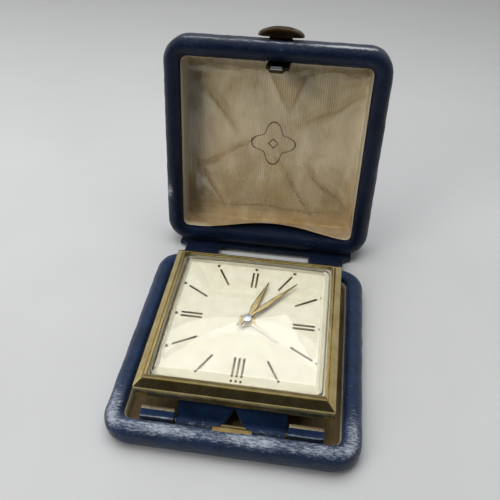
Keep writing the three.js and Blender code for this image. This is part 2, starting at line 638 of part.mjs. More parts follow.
const springTurns = 3;
const springStart = COLLET_R + SEAM_GAP;
const springPitch = 0.95 * CALIBRE;
function hairspring() {
  const path = [];
  for (let i = 0; i <= springTurns * 14; i += 1) {
    const angle = 2 * Math.PI * i / 14;
    const radius = springStart + springPitch * angle / (2 * Math.PI);
    path.push([radius * Math.cos(angle), radius * Math.sin(angle)]);
  }
  const outer = path.map(([x, y]) => [x * (1 + 0.16 / Math.hypot(x, y)), y * (1 + 0.16 / Math.hypot(x, y))]);
  return extruded([...outer, ...path.slice().reverse()], 9, 9.4);
}
add('hairspring', atClock(hairspring(), BALANCE), STEEL);
const studAt = { x: BALANCE.x + springStart + springPitch * springTurns + 0.9, y: BALANCE.y };
add('hairspring_stud', atClock(rod(0.45, 8.8, FRONT_PLATE_Z, 10), studAt), STEEL);

// ---------------------------------------------------------------- under the dial
const overPlate = FRONT_PLATE_Z + PLATE_T;
const tube = (outer, inner, z0, z1) => extruded(circle(outer, 16), z0, z1, [circle(inner, 16)]);
const hourBore = ARBOR_R + TURN_GAP;
const hourTube = hourBore + 0.35;
const alarmBore = hourTube + TURN_GAP;
const alarmTube = alarmBore + 0.35;
function hourWheel() {
  const disc = wheel({ teeth: 36, r: HOUR_WHEEL_R, tooth: 0.4, z0: overPlate + 0.3, z1: overPlate + 0.7, bore: hourBore });
  return join(disc, tube(hourTube, hourBore, overPlate + 0.3, HOUR_HAND_Z));
}
add('hour_wheel', atClock(hourWheel()), BRASS);
function alarmWheel() {
  const disc = wheel({ teeth: 48, r: ALARM_WHEEL_R, tooth: 0.4, z0: overPlate + 1, z1: overPlate + 1.3, bore: alarmBore });
  return join(disc, tube(alarmTube, alarmBore, overPlate + 1, ALARM_HAND_Z));
}
add('alarm_wheel', atClock(alarmWheel()), BRASS);
const alarmSetLong = [rod(ARBOR_R, CASE_Z - 1.1, DIAL_Z - 0.6, 12),
  wheel({ teeth: 12, r: ALARM_SET.r, tooth: 0.35, z0: overPlate + 0.95, z1: DIAL_Z - 0.6, bore: 0 })];
add('alarm_set_arbor', atClock(join(...alarmSetLong), ALARM_SET), STEEL);
const stud = join(rod(0.7, overPlate, overPlate + 0.8, 12),
  wheel({ teeth: 14, r: MINUTE_STEP.r, tooth: 0.3, z0: overPlate + 0.3, z1: overPlate + 0.7, bore: 0 }));
add('minute_wheel', atClock(stud, MINUTE_STEP), BRASS);

// ---------------------------------------------------------------- alarm work
function hammer() {
  const arm = box(-0.6, 0.6, -0.2, 5.4, 8, 9);
  const head = rod(1.5, 7.6, 9.4, 14).translate(0, 5.2 * CALIBRE, 0);
  return join(arm.scale(CALIBRE, CALIBRE, 1), head, rod(ARBOR_R - 0.1, trainLow, trainHigh, 12)).rotateZ(-Math.PI / 2);
}
add('alarm_hammer', atClock(hammer(), HAMMER), STEEL);
const stopPin = turned([[0, CASE_Z - 1.9], [2, CASE_Z - 1.9], [2, CASE_Z - 1.1], [0.6, CASE_Z - 1.1],
  [0.6, BACK_PLATE_Z + PLATE_T + 1], [0, BACK_PLATE_Z + PLATE_T + 1]], 16);
add('alarm_stop', atClock(stopPin, STOP), GILT);

// ---------------------------------------------------------------- hands
function hand(length, tail, halfWidth, hole, z0, angle) {
  const outline = [[-0.35, -tail], [0.35, -tail], [halfWidth, length * 0.34], [0.22, length], [-0.22, length],
    [-halfWidth, length * 0.34]];
  const blade = extruded(outline, z0, z0 + HAND_T);
  const boss = rod(hole + 0.9, z0, z0 + HAND_T, 20);
  const bored = cut(join(blade, boss), rod(hole, z0 - 1, z0 + 1, 16));
  return bored.rotateZ(Math.PI - angle);
}
add('alarm_hand', atClock(hand(ALARM_HAND_L, 3, 0.6, alarmTube - 0.25, ALARM_HAND_Z, ALARM_ANGLE)), BRASS);
add('hour_hand', atClock(hand(HOUR_HAND_L, 4, 1.3, hourTube - 0.25, HOUR_HAND_Z, HOUR_ANGLE)), GILT);
add('minute_hand', atClock(hand(MINUTE_HAND_L, 4.5, 1.1, 0.3, MINUTE_HAND_Z, MINUTE_ANGLE)), GILT);
const capZ = MINUTE_HAND_Z + HAND_T;
add('hand_cap', atClock(turned([[0, capZ], [1.6, capZ], [1.4, capZ + 0.3], [0, capZ + 0.3]], 20)), STEEL);

// ---------------------------------------------------------------- keys and knobs behind
const keyLow = liningTop + 0.3;
function windingKey(turn) {
  const wing = [];
  for (let i = 0; i < 20; i += 1) {
    const angle = 2 * Math.PI * i / 20;
    const reach = 2.4 + 3.4 * Math.cos(angle) * Math.cos(angle);
    wing.push([reach * Math.cos(angle), reach * 0.75 * Math.sin(angle)]);
  }
  return extruded(wing, keyLow, CASE_Z - 1.1).scale(CALIBRE, CALIBRE, 1).rotateZ(turn);
}
add('time_key', atClock(windingKey(0.5), TIME_BARREL), GILT);
add('alarm_key', atClock(windingKey(-0.4), ALARM_BARREL), GILT);
const knob = (radius) => wheel({ teeth: 18, r: radius, tooth: 0.25, z0: keyLow, z1: CASE_Z - 1.1, bore: 0 });
add('hand_set_knob', atClock(knob(2.6 * CALIBRE)), GILT);
add('alarm_set_knob', atClock(knob(2.2 * CALIBRE), ALARM_SET), GILT);

export default model;
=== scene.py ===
"""Folding travel alarm clock: leather tray and lid, linings, film, gilt clock.

Sizes in this file are millimetres; make() turns them into the frame's metres.
"""

import json
import math

import bmesh
import bpy
from mathutils import Matrix, Vector, noise


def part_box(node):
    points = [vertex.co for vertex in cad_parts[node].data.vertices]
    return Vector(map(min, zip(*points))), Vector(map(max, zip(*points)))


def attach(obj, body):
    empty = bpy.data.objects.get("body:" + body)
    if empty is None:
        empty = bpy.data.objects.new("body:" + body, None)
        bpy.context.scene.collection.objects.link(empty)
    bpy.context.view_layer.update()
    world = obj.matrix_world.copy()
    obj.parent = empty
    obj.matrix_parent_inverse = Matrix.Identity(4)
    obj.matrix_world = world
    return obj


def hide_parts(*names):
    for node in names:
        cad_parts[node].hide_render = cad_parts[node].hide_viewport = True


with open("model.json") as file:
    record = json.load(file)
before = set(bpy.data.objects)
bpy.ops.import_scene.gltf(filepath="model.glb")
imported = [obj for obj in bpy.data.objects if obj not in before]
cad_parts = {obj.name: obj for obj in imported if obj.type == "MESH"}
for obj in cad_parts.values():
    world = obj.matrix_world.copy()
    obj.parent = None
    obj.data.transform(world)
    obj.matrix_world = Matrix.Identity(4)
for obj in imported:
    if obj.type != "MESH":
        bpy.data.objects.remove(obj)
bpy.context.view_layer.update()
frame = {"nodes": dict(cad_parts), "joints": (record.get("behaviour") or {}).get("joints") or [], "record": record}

MM = 0.001
TAU = 2 * math.pi
SCENE = bpy.context.scene


# ---------------------------------------------------------------- camera, lights, floor
def camera():
    data = bpy.data.cameras.new("camera")
    data.lens = 41.61
    data.sensor_width = 36
    data.clip_start = 0.005
    eye = bpy.data.objects.new("camera", data)
    SCENE.collection.objects.link(eye)
    eye.location = (0.017695, -0.12256, 0.166196)
    eye.rotation_euler = (0.817, -0.008, 0.143)
    SCENE.camera = eye


def area_light(name, place, target, size, watts, colour=(1, 1, 1)):
    data = bpy.data.lights.new(name, "AREA")
    data.shape = "RECTANGLE"
    data.size, data.size_y = size
    data.energy = watts
    data.color = colour
    light = bpy.data.objects.new(name, data)
    SCENE.collection.objects.link(light)
    light.location = place
    aim = Vector(target) - Vector(place)
    light.rotation_euler = aim.to_track_quat("-Z", "Y").to_euler()
    return light


def studio():
    """A big soft key above and behind, a strip over the dial and a weak pale surround."""
    SCENE.view_settings.view_transform = "Standard"
    surround()
    key = area_light("key", (-0.06, 0.13, 0.62), (0, 0.02, 0), (0.6, 0.5), 3.0)
    key.visible_glossy = False
    area_light("strip", (0.006, 0.224, 0.351), (0, 0.002, 0.019), (0.5, 0.045), 0.075)
    fill = area_light("front_left", (-0.42, -0.32, 0.42), (-0.12, -0.12, 0), (0.3, 0.3), 1.3)
    fill.visible_glossy = False
    area_light("kicker", (-0.45, 0.22, 0.15), (0, -0.01, 0.01), (0.25, 0.12), 0.2)


def surround():
    """Pale studio walls and ceiling, darker behind the viewer."""
    world = bpy.data.worlds.new("surround")
    SCENE.world = world
    world.use_nodes = True
    tree = world.node_tree
    place = tree.nodes.new("ShaderNodeTexCoord")
    split = tree.nodes.new("ShaderNodeSeparateXYZ")
    shade = tree.nodes.new("ShaderNodeMapRange")
    shade.interpolation_type = "SMOOTHSTEP"
    shade.inputs["From Min"].default_value = -0.7
    shade.inputs["From Max"].default_value = 0.35
    shade.inputs["To Min"].default_value = 0.03
    shade.inputs["To Max"].default_value = 0.55
    back = tree.nodes["Background"]
    back.inputs["Color"].default_value = (0.95, 0.97, 1, 1)
    tree.links.new(place.outputs["Generated"], split.inputs[0])
    tree.links.new(split.outputs["Y"], shade.inputs["Value"])
    tree.links.new(shade.outputs["Result"], back.inputs["Strength"])
    backdrop = tree.nodes.new("ShaderNodeBackground")
    backdrop.inputs["Color"].default_value = (0.5, 0.505, 0.51, 1)
    seen = tree.nodes.new("ShaderNodeLightPath")
    pick = tree.nodes.new("ShaderNodeMixShader")
    tree.links.new(seen.outputs["Is Camera Ray"], pick.inputs[0])
    tree.links.new(back.outputs[0], pick.inputs[1])
    tree.links.new(backdrop.outputs[0], pick.inputs[2])
    tree.links.new(pick.outputs[0], tree.nodes["World Output"].inputs["Surface"])


# ---------------------------------------------------------------- node graphs
class Graph:
    """Writes one material: a Principled shader and the nodes that feed it."""

    def __init__(self, name, stretch=(1, 1, 1)):
        self.material = bpy.data.materials.new(name)
        self.material.use_nodes = True
        self.tree = self.material.node_tree
        self.tree.nodes.clear()
        self.output = self.node("ShaderNodeOutputMaterial")
        self.shader = self.node("ShaderNodeBsdfPrincipled")
        self.join(self.shader.outputs["BSDF"], self.output.inputs["Surface"])
        place = self.node("ShaderNodeTexCoord")
        self.metres = place.outputs["Object"]
        self.mm = self.scaled(1000)

    def node(self, kind, **settings):
        made = self.tree.nodes.new(kind)
        for key, value in settings.items():
            setattr(made, key, value)
        return made

    def join(self, source, socket):
        if hasattr(source, "links"):
            self.tree.links.new(source, socket)
        else:
            socket.default_value = source

    def scaled(self, *factors):
        """Object coordinates times a factor, or a factor for each axis."""
        scale = factors if len(factors) == 3 else factors * 3
        times = self.node("ShaderNodeVectorMath", operation="MULTIPLY")
        self.join(self.metres, times.inputs[0])
        times.inputs[1].default_value = scale
        return times.outputs[0]

    def noise(self, size, detail=3, rough=0.55, at=None, distortion=0):
        made = self.node("ShaderNodeTexNoise")
        self.join(at or self.mm, made.inputs["Vector"])
        made.inputs["Scale"].default_value = 1 / size
        made.inputs["Detail"].default_value = detail
        made.inputs["Roughness"].default_value = rough
        made.inputs["Distortion"].default_value = distortion
        return made.outputs["Fac"]

    def cells(self, size, feature="F1", at=None):
        made = self.node("ShaderNodeTexVoronoi", feature=feature)
        self.join(at or self.mm, made.inputs["Vector"])
        made.inputs["Scale"].default_value = 1 / size
        return made.outputs["Distance"]

    def ramp(self, factor, *stops):
        made = self.node("ShaderNodeValToRGB")
        band = made.color_ramp
        while len(band.elements) < len(stops):
            band.elements.new(0.5)
        for element, (at, colour) in zip(band.elements, stops):
            element.position = at
            element.color = tuple(colour) + (1,) if hasattr(colour, "__len__") else (colour,) * 3 + (1,)
        self.join(factor, made.inputs["Fac"])
        return made.outputs["Color"]

    def mix(self, factor, first, second, blend="MIX"):
        made = self.node("ShaderNodeMix", data_type="RGBA", blend_type=blend)
        self.join(factor, made.inputs[0])
        for value, socket in ((first, made.inputs[6]), (second, made.inputs[7])):
            self.join(value if hasattr(value, "links") else tuple(value) + (1,), socket)
        return made.outputs[2]

    def math(self, operation, first, second=0.0, clamp=False):
        made = self.node("ShaderNodeMath", operation=operation, use_clamp=clamp)
        self.join(first, made.inputs[0])
        self.join(second, made.inputs[1])
        return made.outputs[0]

    def axis(self, name, at=None):
        split = self.node("ShaderNodeSeparateXYZ")
        self.join(at or self.mm, split.inputs[0])
        return split.outputs[name]

    def stripes(self, axis, period, phase=0.0):
        """A 0..1 sine along one axis, in millimetres."""
        turns = self.math("MULTIPLY_ADD", self.axis(axis), TAU / period)
        turns.node.inputs[2].default_value = phase
        wave = self.math("SINE", turns)
        lifted = self.math("MULTIPLY_ADD", wave, 0.5)
        lifted.node.inputs[2].default_value = 0.5
        return lifted

    def painted(self, name):
        made = self.node("ShaderNodeAttribute", attribute_name=name)
        return made.outputs["Fac"]

    def relief(self, height, strength, distance, under=None):
        made = self.node("ShaderNodeBump")
        made.inputs["Strength"].default_value = strength
        made.inputs["Distance"].default_value = distance * MM
        self.join(height, made.inputs["Height"])
        if under:
            self.join(under, made.inputs["Normal"])
        return made.outputs["Normal"]

    def finish(self, **sockets):
        for name, value in sockets.items():
            socket = self.shader.inputs[name.replace("_", " ")]
            plain = not hasattr(value, "links") and hasattr(value, "__len__")
            self.join(tuple(value) + (1,) if plain else value, socket)
        return self.material


# ---------------------------------------------------------------- materials
def leather(name, deep, lit, worn, haze=0.2, sheen=0.12):
    """Dyed leather: pebble grain, broad tone, and pale flaking where it is painted as worn."""
    g = Graph(name)
    pebble = g.cells(0.75)
    wrinkle = g.noise(1.6, 4, 0.6, distortion=0.8)
    tone = g.ramp(g.noise(9, 3), (0.3, deep), (0.72, lit))
    pits = g.ramp(pebble, (0.0, 1.0), (0.75, 0.55))
    body = g.mix(0.35, tone, pits, "MULTIPLY")
    flakes = g.noise(0.62, 7, 0.8, g.scaled(300, 1000, 1000), 0.6)
    rubbed = g.painted("wear")
    reach = g.math("MULTIPLY_ADD", rubbed, 0.42)
    reach.node.inputs[2].default_value = -0.62
    ragged = g.math("MULTIPLY", g.math("ADD", flakes, reach, True), 6.0, True)
    dusty = g.mix(g.math("MULTIPLY", rubbed, haze), body, worn)
    colour = g.mix(ragged, dusty, worn)
    grain = g.relief(g.math("ADD", g.math("MULTIPLY", pebble, -0.6), wrinkle), 0.75, 0.2)
    fine = g.relief(g.noise(0.3, 3), 0.3, 0.05, grain)
    rough = g.ramp(wrinkle, (0.2, 0.34), (0.8, 0.55))
    return g.finish(Base_Color=colour, Roughness=rough, Normal=fine, Specular_IOR_Level=0.32,
                    Sheen_Weight=sheen, Sheen_Roughness=0.4)


def ribbed_cloth(name, dark, light, brown, period):
    """Ribbed silk lining: fine cords, a slow watered tone and darker, worn margins."""
    g = Graph(name)
    cords = g.stripes("X", period)
    cross = g.stripes("Y", period * 0.35)
    watered = g.noise(1, 3, 0.6, g.scaled(140, 60, 60), 0.6)
    tone = g.ramp(watered, (0.32, dark), (0.68, light))
    corded = g.mix(0.32, tone, g.ramp(cords, (0.1, 0.5), (0.7, 1.0)), "MULTIPLY")
    threads = g.mix(0.18, corded, g.ramp(cross, (0.2, 0.5), (0.8, 1.0)), "MULTIPLY")
    # Browner and darker where the point value read here is high: towards the foot of the walls and into the corners.
    darkened = g.mix(g.math("MULTIPLY", g.painted("darkening"), g.ramp(g.noise(6, 4), (0.2, 0.4), (0.7, 1))),
                    threads, brown)
    frayed = g.math("MULTIPLY", g.painted("fray"), g.ramp(g.noise(0.6, 4, 0.7), (0.35, 0.2), (0.6, 1.0)))
    colour = g.mix(frayed, darkened, (0.62, 0.58, 0.46))
    normal = g.relief(cords, 0.5, 0.12, g.relief(cross, 0.25, 0.04))
    return g.finish(Base_Color=colour, Roughness=g.ramp(watered, (0.2, 0.55), (0.8, 0.75)), Normal=normal,
                    Sheen_Weight=0.15, Specular_IOR_Level=0.3)


def metal(name, dark, light, rough, grain=1.2, tarnish=(0.12, 0.075, 0.03), brushed=None, darkened=0.5):
    """Bare or plated metal: polish marks, broad tone and brown tarnish in patches."""
    g = Graph(name)
    at = g.scaled(*brushed) if brushed else None
    marks = g.noise(grain, 5, 0.6, at)
    tone = g.ramp(g.noise(5, 4), (0.3, dark), (0.7, light))
    spots = g.ramp(g.noise(2.2, 6, 0.7, distortion=0.5), (0.60, 0.0), (0.78, 1.0))
    colour = g.mix(g.math("MULTIPLY", spots, darkened), tone, tarnish)
    uneven = g.ramp(marks, (0.25, rough * 0.75), (0.75, min(rough * 1.35, 1)))
    normal = g.relief(marks, 0.18, 0.03)
    return g.finish(Base_Color=colour, Metallic=1.0, Roughness=uneven, Normal=normal)


def ringed(name, dark, light, rough, pitch):
    """Turned brass with circular tool marks around the clock's own centre."""
    g = Graph(name)
    rings = g.node("ShaderNodeTexWave", wave_type="RINGS", rings_direction="Z")
    g.join(g.mm, rings.inputs["Vector"])
    rings.inputs["Scale"].default_value = 1 / pitch
    rings.inputs["Distortion"].default_value = 0.3
    marks = rings.outputs["Fac"]
    tone = g.ramp(g.noise(6, 4), (0.3, dark), (0.7, light))
    colour = g.mix(0.12, tone, g.ramp(marks, (0.2, 0.4), (0.8, 1.0)), "MULTIPLY")
    return g.finish(Base_Color=colour, Metallic=1.0, Roughness=g.ramp(marks, (0.2, rough), (0.8, rough * 1.4)),
                    Normal=g.relief(marks, 0.15, 0.03))


def stamped(name):
    """Brown foil pressed into the silk, thin where it has rubbed away."""
    g = Graph(name)
    colour = g.ramp(g.noise(0.8, 4, 0.7), (0.35, (0.10, 0.05, 0.018)), (0.7, (0.22, 0.125, 0.05)))
    return g.finish(Base_Color=colour, Roughness=g.ramp(g.noise(1.2), (0.3, 0.5), (0.7, 0.75)),
                    Specular_IOR_Level=0.3)


def dial_paint(name):
    """Cream silvered paint with faint mottling and fine darker specks."""
    g = Graph(name)
    mottle = g.ramp(g.noise(3.5, 5, 0.65), (0.3, (0.455, 0.43, 0.325)), (0.72, (0.54, 0.515, 0.405)))
    specks = g.ramp(g.cells(0.5), (0.02, 0.75), (0.08, 1.0))
    colour = g.mix(0.3, mottle, specks, "MULTIPLY")
    return g.finish(Base_Color=colour, Roughness=g.ramp(g.noise(1.5), (0.3, 0.38), (0.7, 0.5)),
                    Metallic=0.0, Normal=g.relief(g.noise(0.35, 3), 0.12, 0.02))


def clear_film(name):
    """Old clear film: slightly yellow, in facets, with painted shade (a brown tint) along its folds and hazy where it
    is creased.
    """
    g = Graph(name)
    facets = g.node("ShaderNodeTexVoronoi", feature="F1")
    g.join(g.scaled(1000, 700, 1000), facets.inputs["Vector"])
    facets.inputs["Scale"].default_value = 1 / 13
    tone = g.ramp(facets.outputs["Color"], (0.1, (0.93, 0.90, 0.82)), (0.9, (0.985, 0.98, 0.95)))
    # Painted shade: the film is tinted brown along its folds to stand in for the shading of the creases.
    fold_shade = g.mix(g.painted("crease"), tone, (0.66, 0.56, 0.40))
    haze = g.math("MULTIPLY_ADD", g.painted("haze"), 0.5)
    haze.node.inputs[2].default_value = 0.07
    g.finish(Base_Color=fold_shade, Roughness=haze, Transmission_Weight=1.0, IOR=1.5,
             Normal=g.relief(g.noise(5, 2), 0.2, 0.12))
    return g


def past_shadows(g):
    """Shadow rays go straight through, so what lies below stays lit."""
    through = g.node("ShaderNodeBsdfTransparent")
    ray = g.node("ShaderNodeLightPath")
    both = g.node("ShaderNodeMixShader")
    g.join(ray.outputs["Is Shadow Ray"], both.inputs[0])
    g.join(g.shader.outputs["BSDF"], both.inputs[1])
    g.join(through.outputs["BSDF"], both.inputs[2])
    g.join(both.outputs[0], g.output.inputs["Surface"])
    return g.material


def clear(name, tint, rough, scratch, ior=1.49):
    """Clear acrylic with a few fine scratches."""
    g = Graph(name)
    marks = g.noise(0.5, 5, 0.7, g.scaled(1000, 300, 600))
    haze = g.ramp(marks, (0.45, rough), (0.8, rough + scratch))
    g.finish(Base_Color=tint, Roughness=haze, Transmission_Weight=1.0, IOR=ior,
             Normal=g.relief(g.noise(7, 2), 0.05, 0.05))
    return past_shadows(g)


def floor_paper_painted_shade():
    g = Graph("floor_paper_painted_shade")
    paper = g.ramp(g.noise(60, 3), (0.3, 0.55), (0.7, 0.58))
    # Painted shade: the paper is painted darker grey further back, standing in for the light falling off away from the
    # clock.
    away = g.node("ShaderNodeMapRange", interpolation_type="SMOOTHSTEP")
    g.join(g.axis("Y"), away.inputs["Value"])
    away.inputs["From Min"].default_value = 60
    away.inputs["From Max"].default_value = 420
    tone = g.mix(away.outputs["Result"], paper, (0.40, 0.40, 0.395))
    return g.finish(Base_Color=tone, Roughness=0.9, Specular_IOR_Level=0.2)


def materials():
    return {
        "leather": leather("navy_leather", (0.004, 0.013, 0.042), (0.009, 0.031, 0.088), (0.36, 0.40, 0.46)),
        # The lid's leather is the tray's navy leather painted about half as dark: painted shade for the lid, which
        # faces away from the key.
        "lid_leather_painted_shade": leather("navy_leather_lid_painted_shade", (0.002, 0.006, 0.021), (0.005, 0.014, 0.040),
                               (0.40, 0.42, 0.45), 0.15, 0.05),
        "tray_cloth": ribbed_cloth("brown_silk", (0.13, 0.088, 0.036), (0.27, 0.19, 0.085),
                                   (0.08, 0.055, 0.025), 0.8),
        "lid_cloth": ribbed_cloth("beige_silk", (0.57, 0.47, 0.295), (0.79, 0.68, 0.475),
                                  (0.34, 0.215, 0.085), 0.85),
        "gilt": metal("gilt", (0.46, 0.35, 0.14), (0.62, 0.50, 0.24), 0.22, darkened=0.25),
        "marker": metal("marker_gilt", (0.060, 0.043, 0.020), (0.12, 0.088, 0.04), 0.28, 0.5),
        "outline": metal("hand_edge", (0.07, 0.045, 0.02), (0.12, 0.08, 0.035), 0.45, 0.5),
        "brass": metal("brass", (0.47, 0.33, 0.12), (0.64, 0.47, 0.2), 0.32, 0.8),
        "steel": metal("steel", (0.36, 0.36, 0.37), (0.55, 0.55, 0.56), 0.3, 0.6, (0.16, 0.12, 0.09)),
        "bronze": metal("bronze", (0.055, 0.036, 0.02), (0.13, 0.085, 0.045), 0.34, 0.9),
        "plate": ringed("turned_plate", (0.50, 0.36, 0.14), (0.62, 0.46, 0.19), 0.28, 1.6),
        "dial": dial_paint("cream_dial"),
        "crystal": clear("acrylic", (0.985, 0.99, 0.98), 0.02, 0.05),
        "film": past_shadows(clear_film("clear_film")),
        "stamp": stamped("stamped_brown"),
    }


# ---------------------------------------------------------------- mesh helpers
def box_mm(node):
    low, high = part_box(node)
    return low / MM, high / MM


def make(name, verts, faces, material, smooth_angle=60, place=None, more_materials=()):
    """A mesh object from millimetre points, with its faces turned outwards."""
    mesh = bpy.data.meshes.new(name)
    mesh.from_pydata([Vector(v) * MM for v in verts], [], faces)
    bm = bmesh.new()
    bm.from_mesh(mesh)
    bmesh.ops.remove_doubles(bm, verts=bm.verts, dist=1e-6)
    bmesh.ops.recalc_face_normals(bm, faces=bm.faces)
    bm.to_mesh(mesh)
    bm.free()
    for face in mesh.polygons:
        face.use_smooth = True
    mesh.set_sharp_from_angle(angle=math.radians(smooth_angle))
    for each in (material, *more_materials):
        mesh.materials.append(each)
    made = bpy.data.objects.new(name, mesh)
    SCENE.collection.objects.link(made)
    if place is not None:
        made.matrix_world = place
    return made


def settle(piece, body, slot, *nodes):
    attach(piece, body)
    if nodes:
        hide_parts(*nodes)
    return piece


def ring(width, depth, radius, inset, side=30, corner=10, least=0.25):
    """Counter-clockwise points of a rounded rectangle, moved inwards by inset."""
    r = max(radius - inset, least)
    cx, cy = width / 2 - inset - r, depth / 2 - inset - r
    signs = ((1, 1), (-1, 1), (-1, -1), (1, -1))

    def on_arc(quarter, part):
        sx, sy = signs[quarter % 4]
        turn = (quarter + part) * math.pi / 2
        return Vector((sx * cx + r * math.cos(turn), sy * cy + r * math.sin(turn)))

    points = []
    for quarter in range(4):
        points += [on_arc(quarter, i / corner) for i in range(corner + 1)]
        start, end = on_arc(quarter, 1), on_arc(quarter + 1, 0)
        points += [start.lerp(end, i / side) for i in range(1, side)]
    return points


def loft(rings, closed=False):
    """Quads between rings; an open loft is capped at both ends."""
    count = len(rings[0])
    verts = [point for each in rings for point in each]
    faces = []
    for i in range(len(rings) - (0 if closed else 1)):
        low, high = i * count, (i + 1) % len(rings) * count
        faces += [(low + j, low + (j + 1) % count, high + (j + 1) % count, high + j) for j in range(count)]
    if not closed:
        faces += [tuple(reversed(range(count))), tuple(range(len(verts) - count, len(verts)))]
    return verts, faces


def framed(width, depth, radius, profile, centre=(0, 0), closed=False, **detail):
    """Rings of a rounded rectangle through (inset, height) points."""
    rings = [[(x + centre[0], y + centre[1], z) for x, y in ring(width, depth, radius, inset, **detail)]
             for inset, z in profile]
    return loft(rings, closed)


def smooth(points, per=4, closed=False):
    """A Catmull-Rom curve through the points."""
    points = [Vector(p) for p in points]
    count = len(points)
    curve = []
    for i in range(count if closed else count - 1):
        if closed:
            a, b, c, d = (points[(i + k) % count] for k in (-1, 0, 1, 2))
        else:
            a, b, c, d = (points[min(max(i + k, 0), count - 1)] for k in (-1, 0, 1, 2))
        for step in range(per):
            t = step / per
            curve.append(0.5 * (2 * b + (c - a) * t + (2 * a - 5 * b + 4 * c - d) * t ** 2
                                + (3 * b - a - 3 * c + d) * t ** 3))
    return curve if closed else curve + [points[-1]]


def roughen(piece, amount, size, seed=0.0, mask=lambda p: 1.0):
    """Moves points along their normals by seeded noise."""
    mesh = piece.data
    offsets = []
    for vertex in mesh.vertices:
        p = vertex.co / MM
        level = noise.fractal(p / size + Vector((seed, seed * 0.7, 3.1)), 0.9, 2.1, 4)
        offsets.append(vertex.normal * level * amount * MM * mask(p))
    for vertex, offset in zip(mesh.vertices, offsets):
        vertex.co += offset


def paint(piece, name, level):
    """A 0..1 value at each point, for the materials to read."""
    layer = piece.data.attributes.new(name, "FLOAT", "POINT")
    for vertex, value in zip(piece.data.vertices, layer.data):
        value.value = min(max(level(vertex.co / MM), 0.0), 1.0)


def bell(value, middle, half):
    """1 at the middle, falling smoothly to 0 at half away."""
    away = min(abs(value - middle) / half, 1.0)
    return (1 - away * away) ** 2


def carve(piece, *cutters):
    """Takes the cutters out of the piece and removes them."""
    for cutter in cutters:
        cutter.matrix_world = piece.matrix_world
        modifier = piece.modifiers.new("carve", "BOOLEAN")
        modifier.object = cutter
        modifier.solver = "EXACT"
    bpy.context.view_layer.update()
    ready = piece.evaluated_get(bpy.context.evaluated_depsgraph_get())
    mesh = bpy.data.meshes.new_from_object(ready)
    piece.modifiers.clear()
    piece.data = mesh
    for cutter in cutters:
        bpy.data.objects.remove(cutter)


def block(name, low, high):
    """A temporary box for carving."""
    corners = [(x, y, z) for z in (low[2], high[2]) for x, y in
               ((low[0], low[1]), (high[0], low[1]), (high[0], high[1]), (low[0], high[1]))]
    faces = [(3, 2, 1, 0), (4, 5, 6, 7), (0, 1, 5, 4), (1, 2, 6, 5), (2, 3, 7, 6), (3, 0, 4, 7)]
    return make(name, corners, faces, None)


def pillow_block(name, low, high, radius, material, place=None, steps=4, fine=1.2):
    """A block with round edges, cut into small quads so that it can be roughened."""
    size = Vector(high) - Vector(low)
    middle = (Vector(high) + Vector(low)) / 2
    bm = bmesh.new()
    bmesh.ops.create_cube(bm, size=1)
    bmesh.ops.scale(bm, vec=size, verts=bm.verts)
    bmesh.ops.bevel(bm, geom=bm.edges, offset=radius, segments=steps, profile=0.5, affect="EDGES")
    long_edges = [e for e in bm.edges if e.calc_length() > fine]
    cuts = max(1, int(max(size) / fine))
    bmesh.ops.subdivide_edges(bm, edges=long_edges, cuts=min(cuts, 10), use_grid_fill=True)
    verts = [v.co + middle for v in bm.verts]
    faces = [tuple(v.index for v in f.verts) for f in bm.faces]
    bm.free()
    return make(name, verts, faces, material, place=place)


# ---------------------------------------------------------------- the lid's own frame
def lid_frame():
    """Rim up and hinge side towards -Y, as the lid lies when it is closed over its back."""
    push = next(j for j in frame["joints"] if j["name"] == "latch_push")["axis"]
    up = -Vector(push)
    side = Vector((1, 0, 0))
    face = side.cross(up)
    points = [v.co for v in frame["nodes"]["lid_shell"].data.vertices]
    along = [p.dot(up) for p in points]
    deep = min(p.dot(face) for p in points)
    origin = up * (min(along) + max(along)) / 2 + face * deep
    turn = Matrix((side, up, face)).transposed().to_4x4()
    return Matrix.Translation(origin) @ turn


def lid_box(node):
    inverse = LID.inverted()
    points = [inverse @ v.co / MM for v in frame["nodes"][node].data.vertices]
    low = Vector(min(p[i] for p in points) for i in range(3))
    high = Vector(max(p[i] for p in points) for i in range(3))
    return low, high


LID = lid_frame()
LOOK = materials()
TRAY_LOW, TRAY_HIGH = box_mm("tray_shell")
TRAY_SIZE = TRAY_HIGH - TRAY_LOW
TRAY_IN = (box_mm("tray_lining")[1] - box_mm("tray_lining")[0])
TRAY_RIM = (TRAY_SIZE.x - TRAY_IN.x) / 2 - 0.2
LID_LOW, LID_HIGH = lid_box("lid_shell")
LID_SIZE = LID_HIGH - LID_LOW
LID_IN = lid_box("lid_lining")[1] - lid_box("lid_lining")[0]
LID_RIM = (LID_SIZE.x - LID_IN.x) / 2 - 0.2
CORNER = 9
BEZEL_LOW, BEZEL_HIGH = box_mm("bezel")
CLOCK = (BEZEL_LOW + BEZEL_HIGH) / 2
HALF = (BEZEL_HIGH.x - BEZEL_LOW.x) / 2
DIAL_TOP = box_mm("dial")[1].z


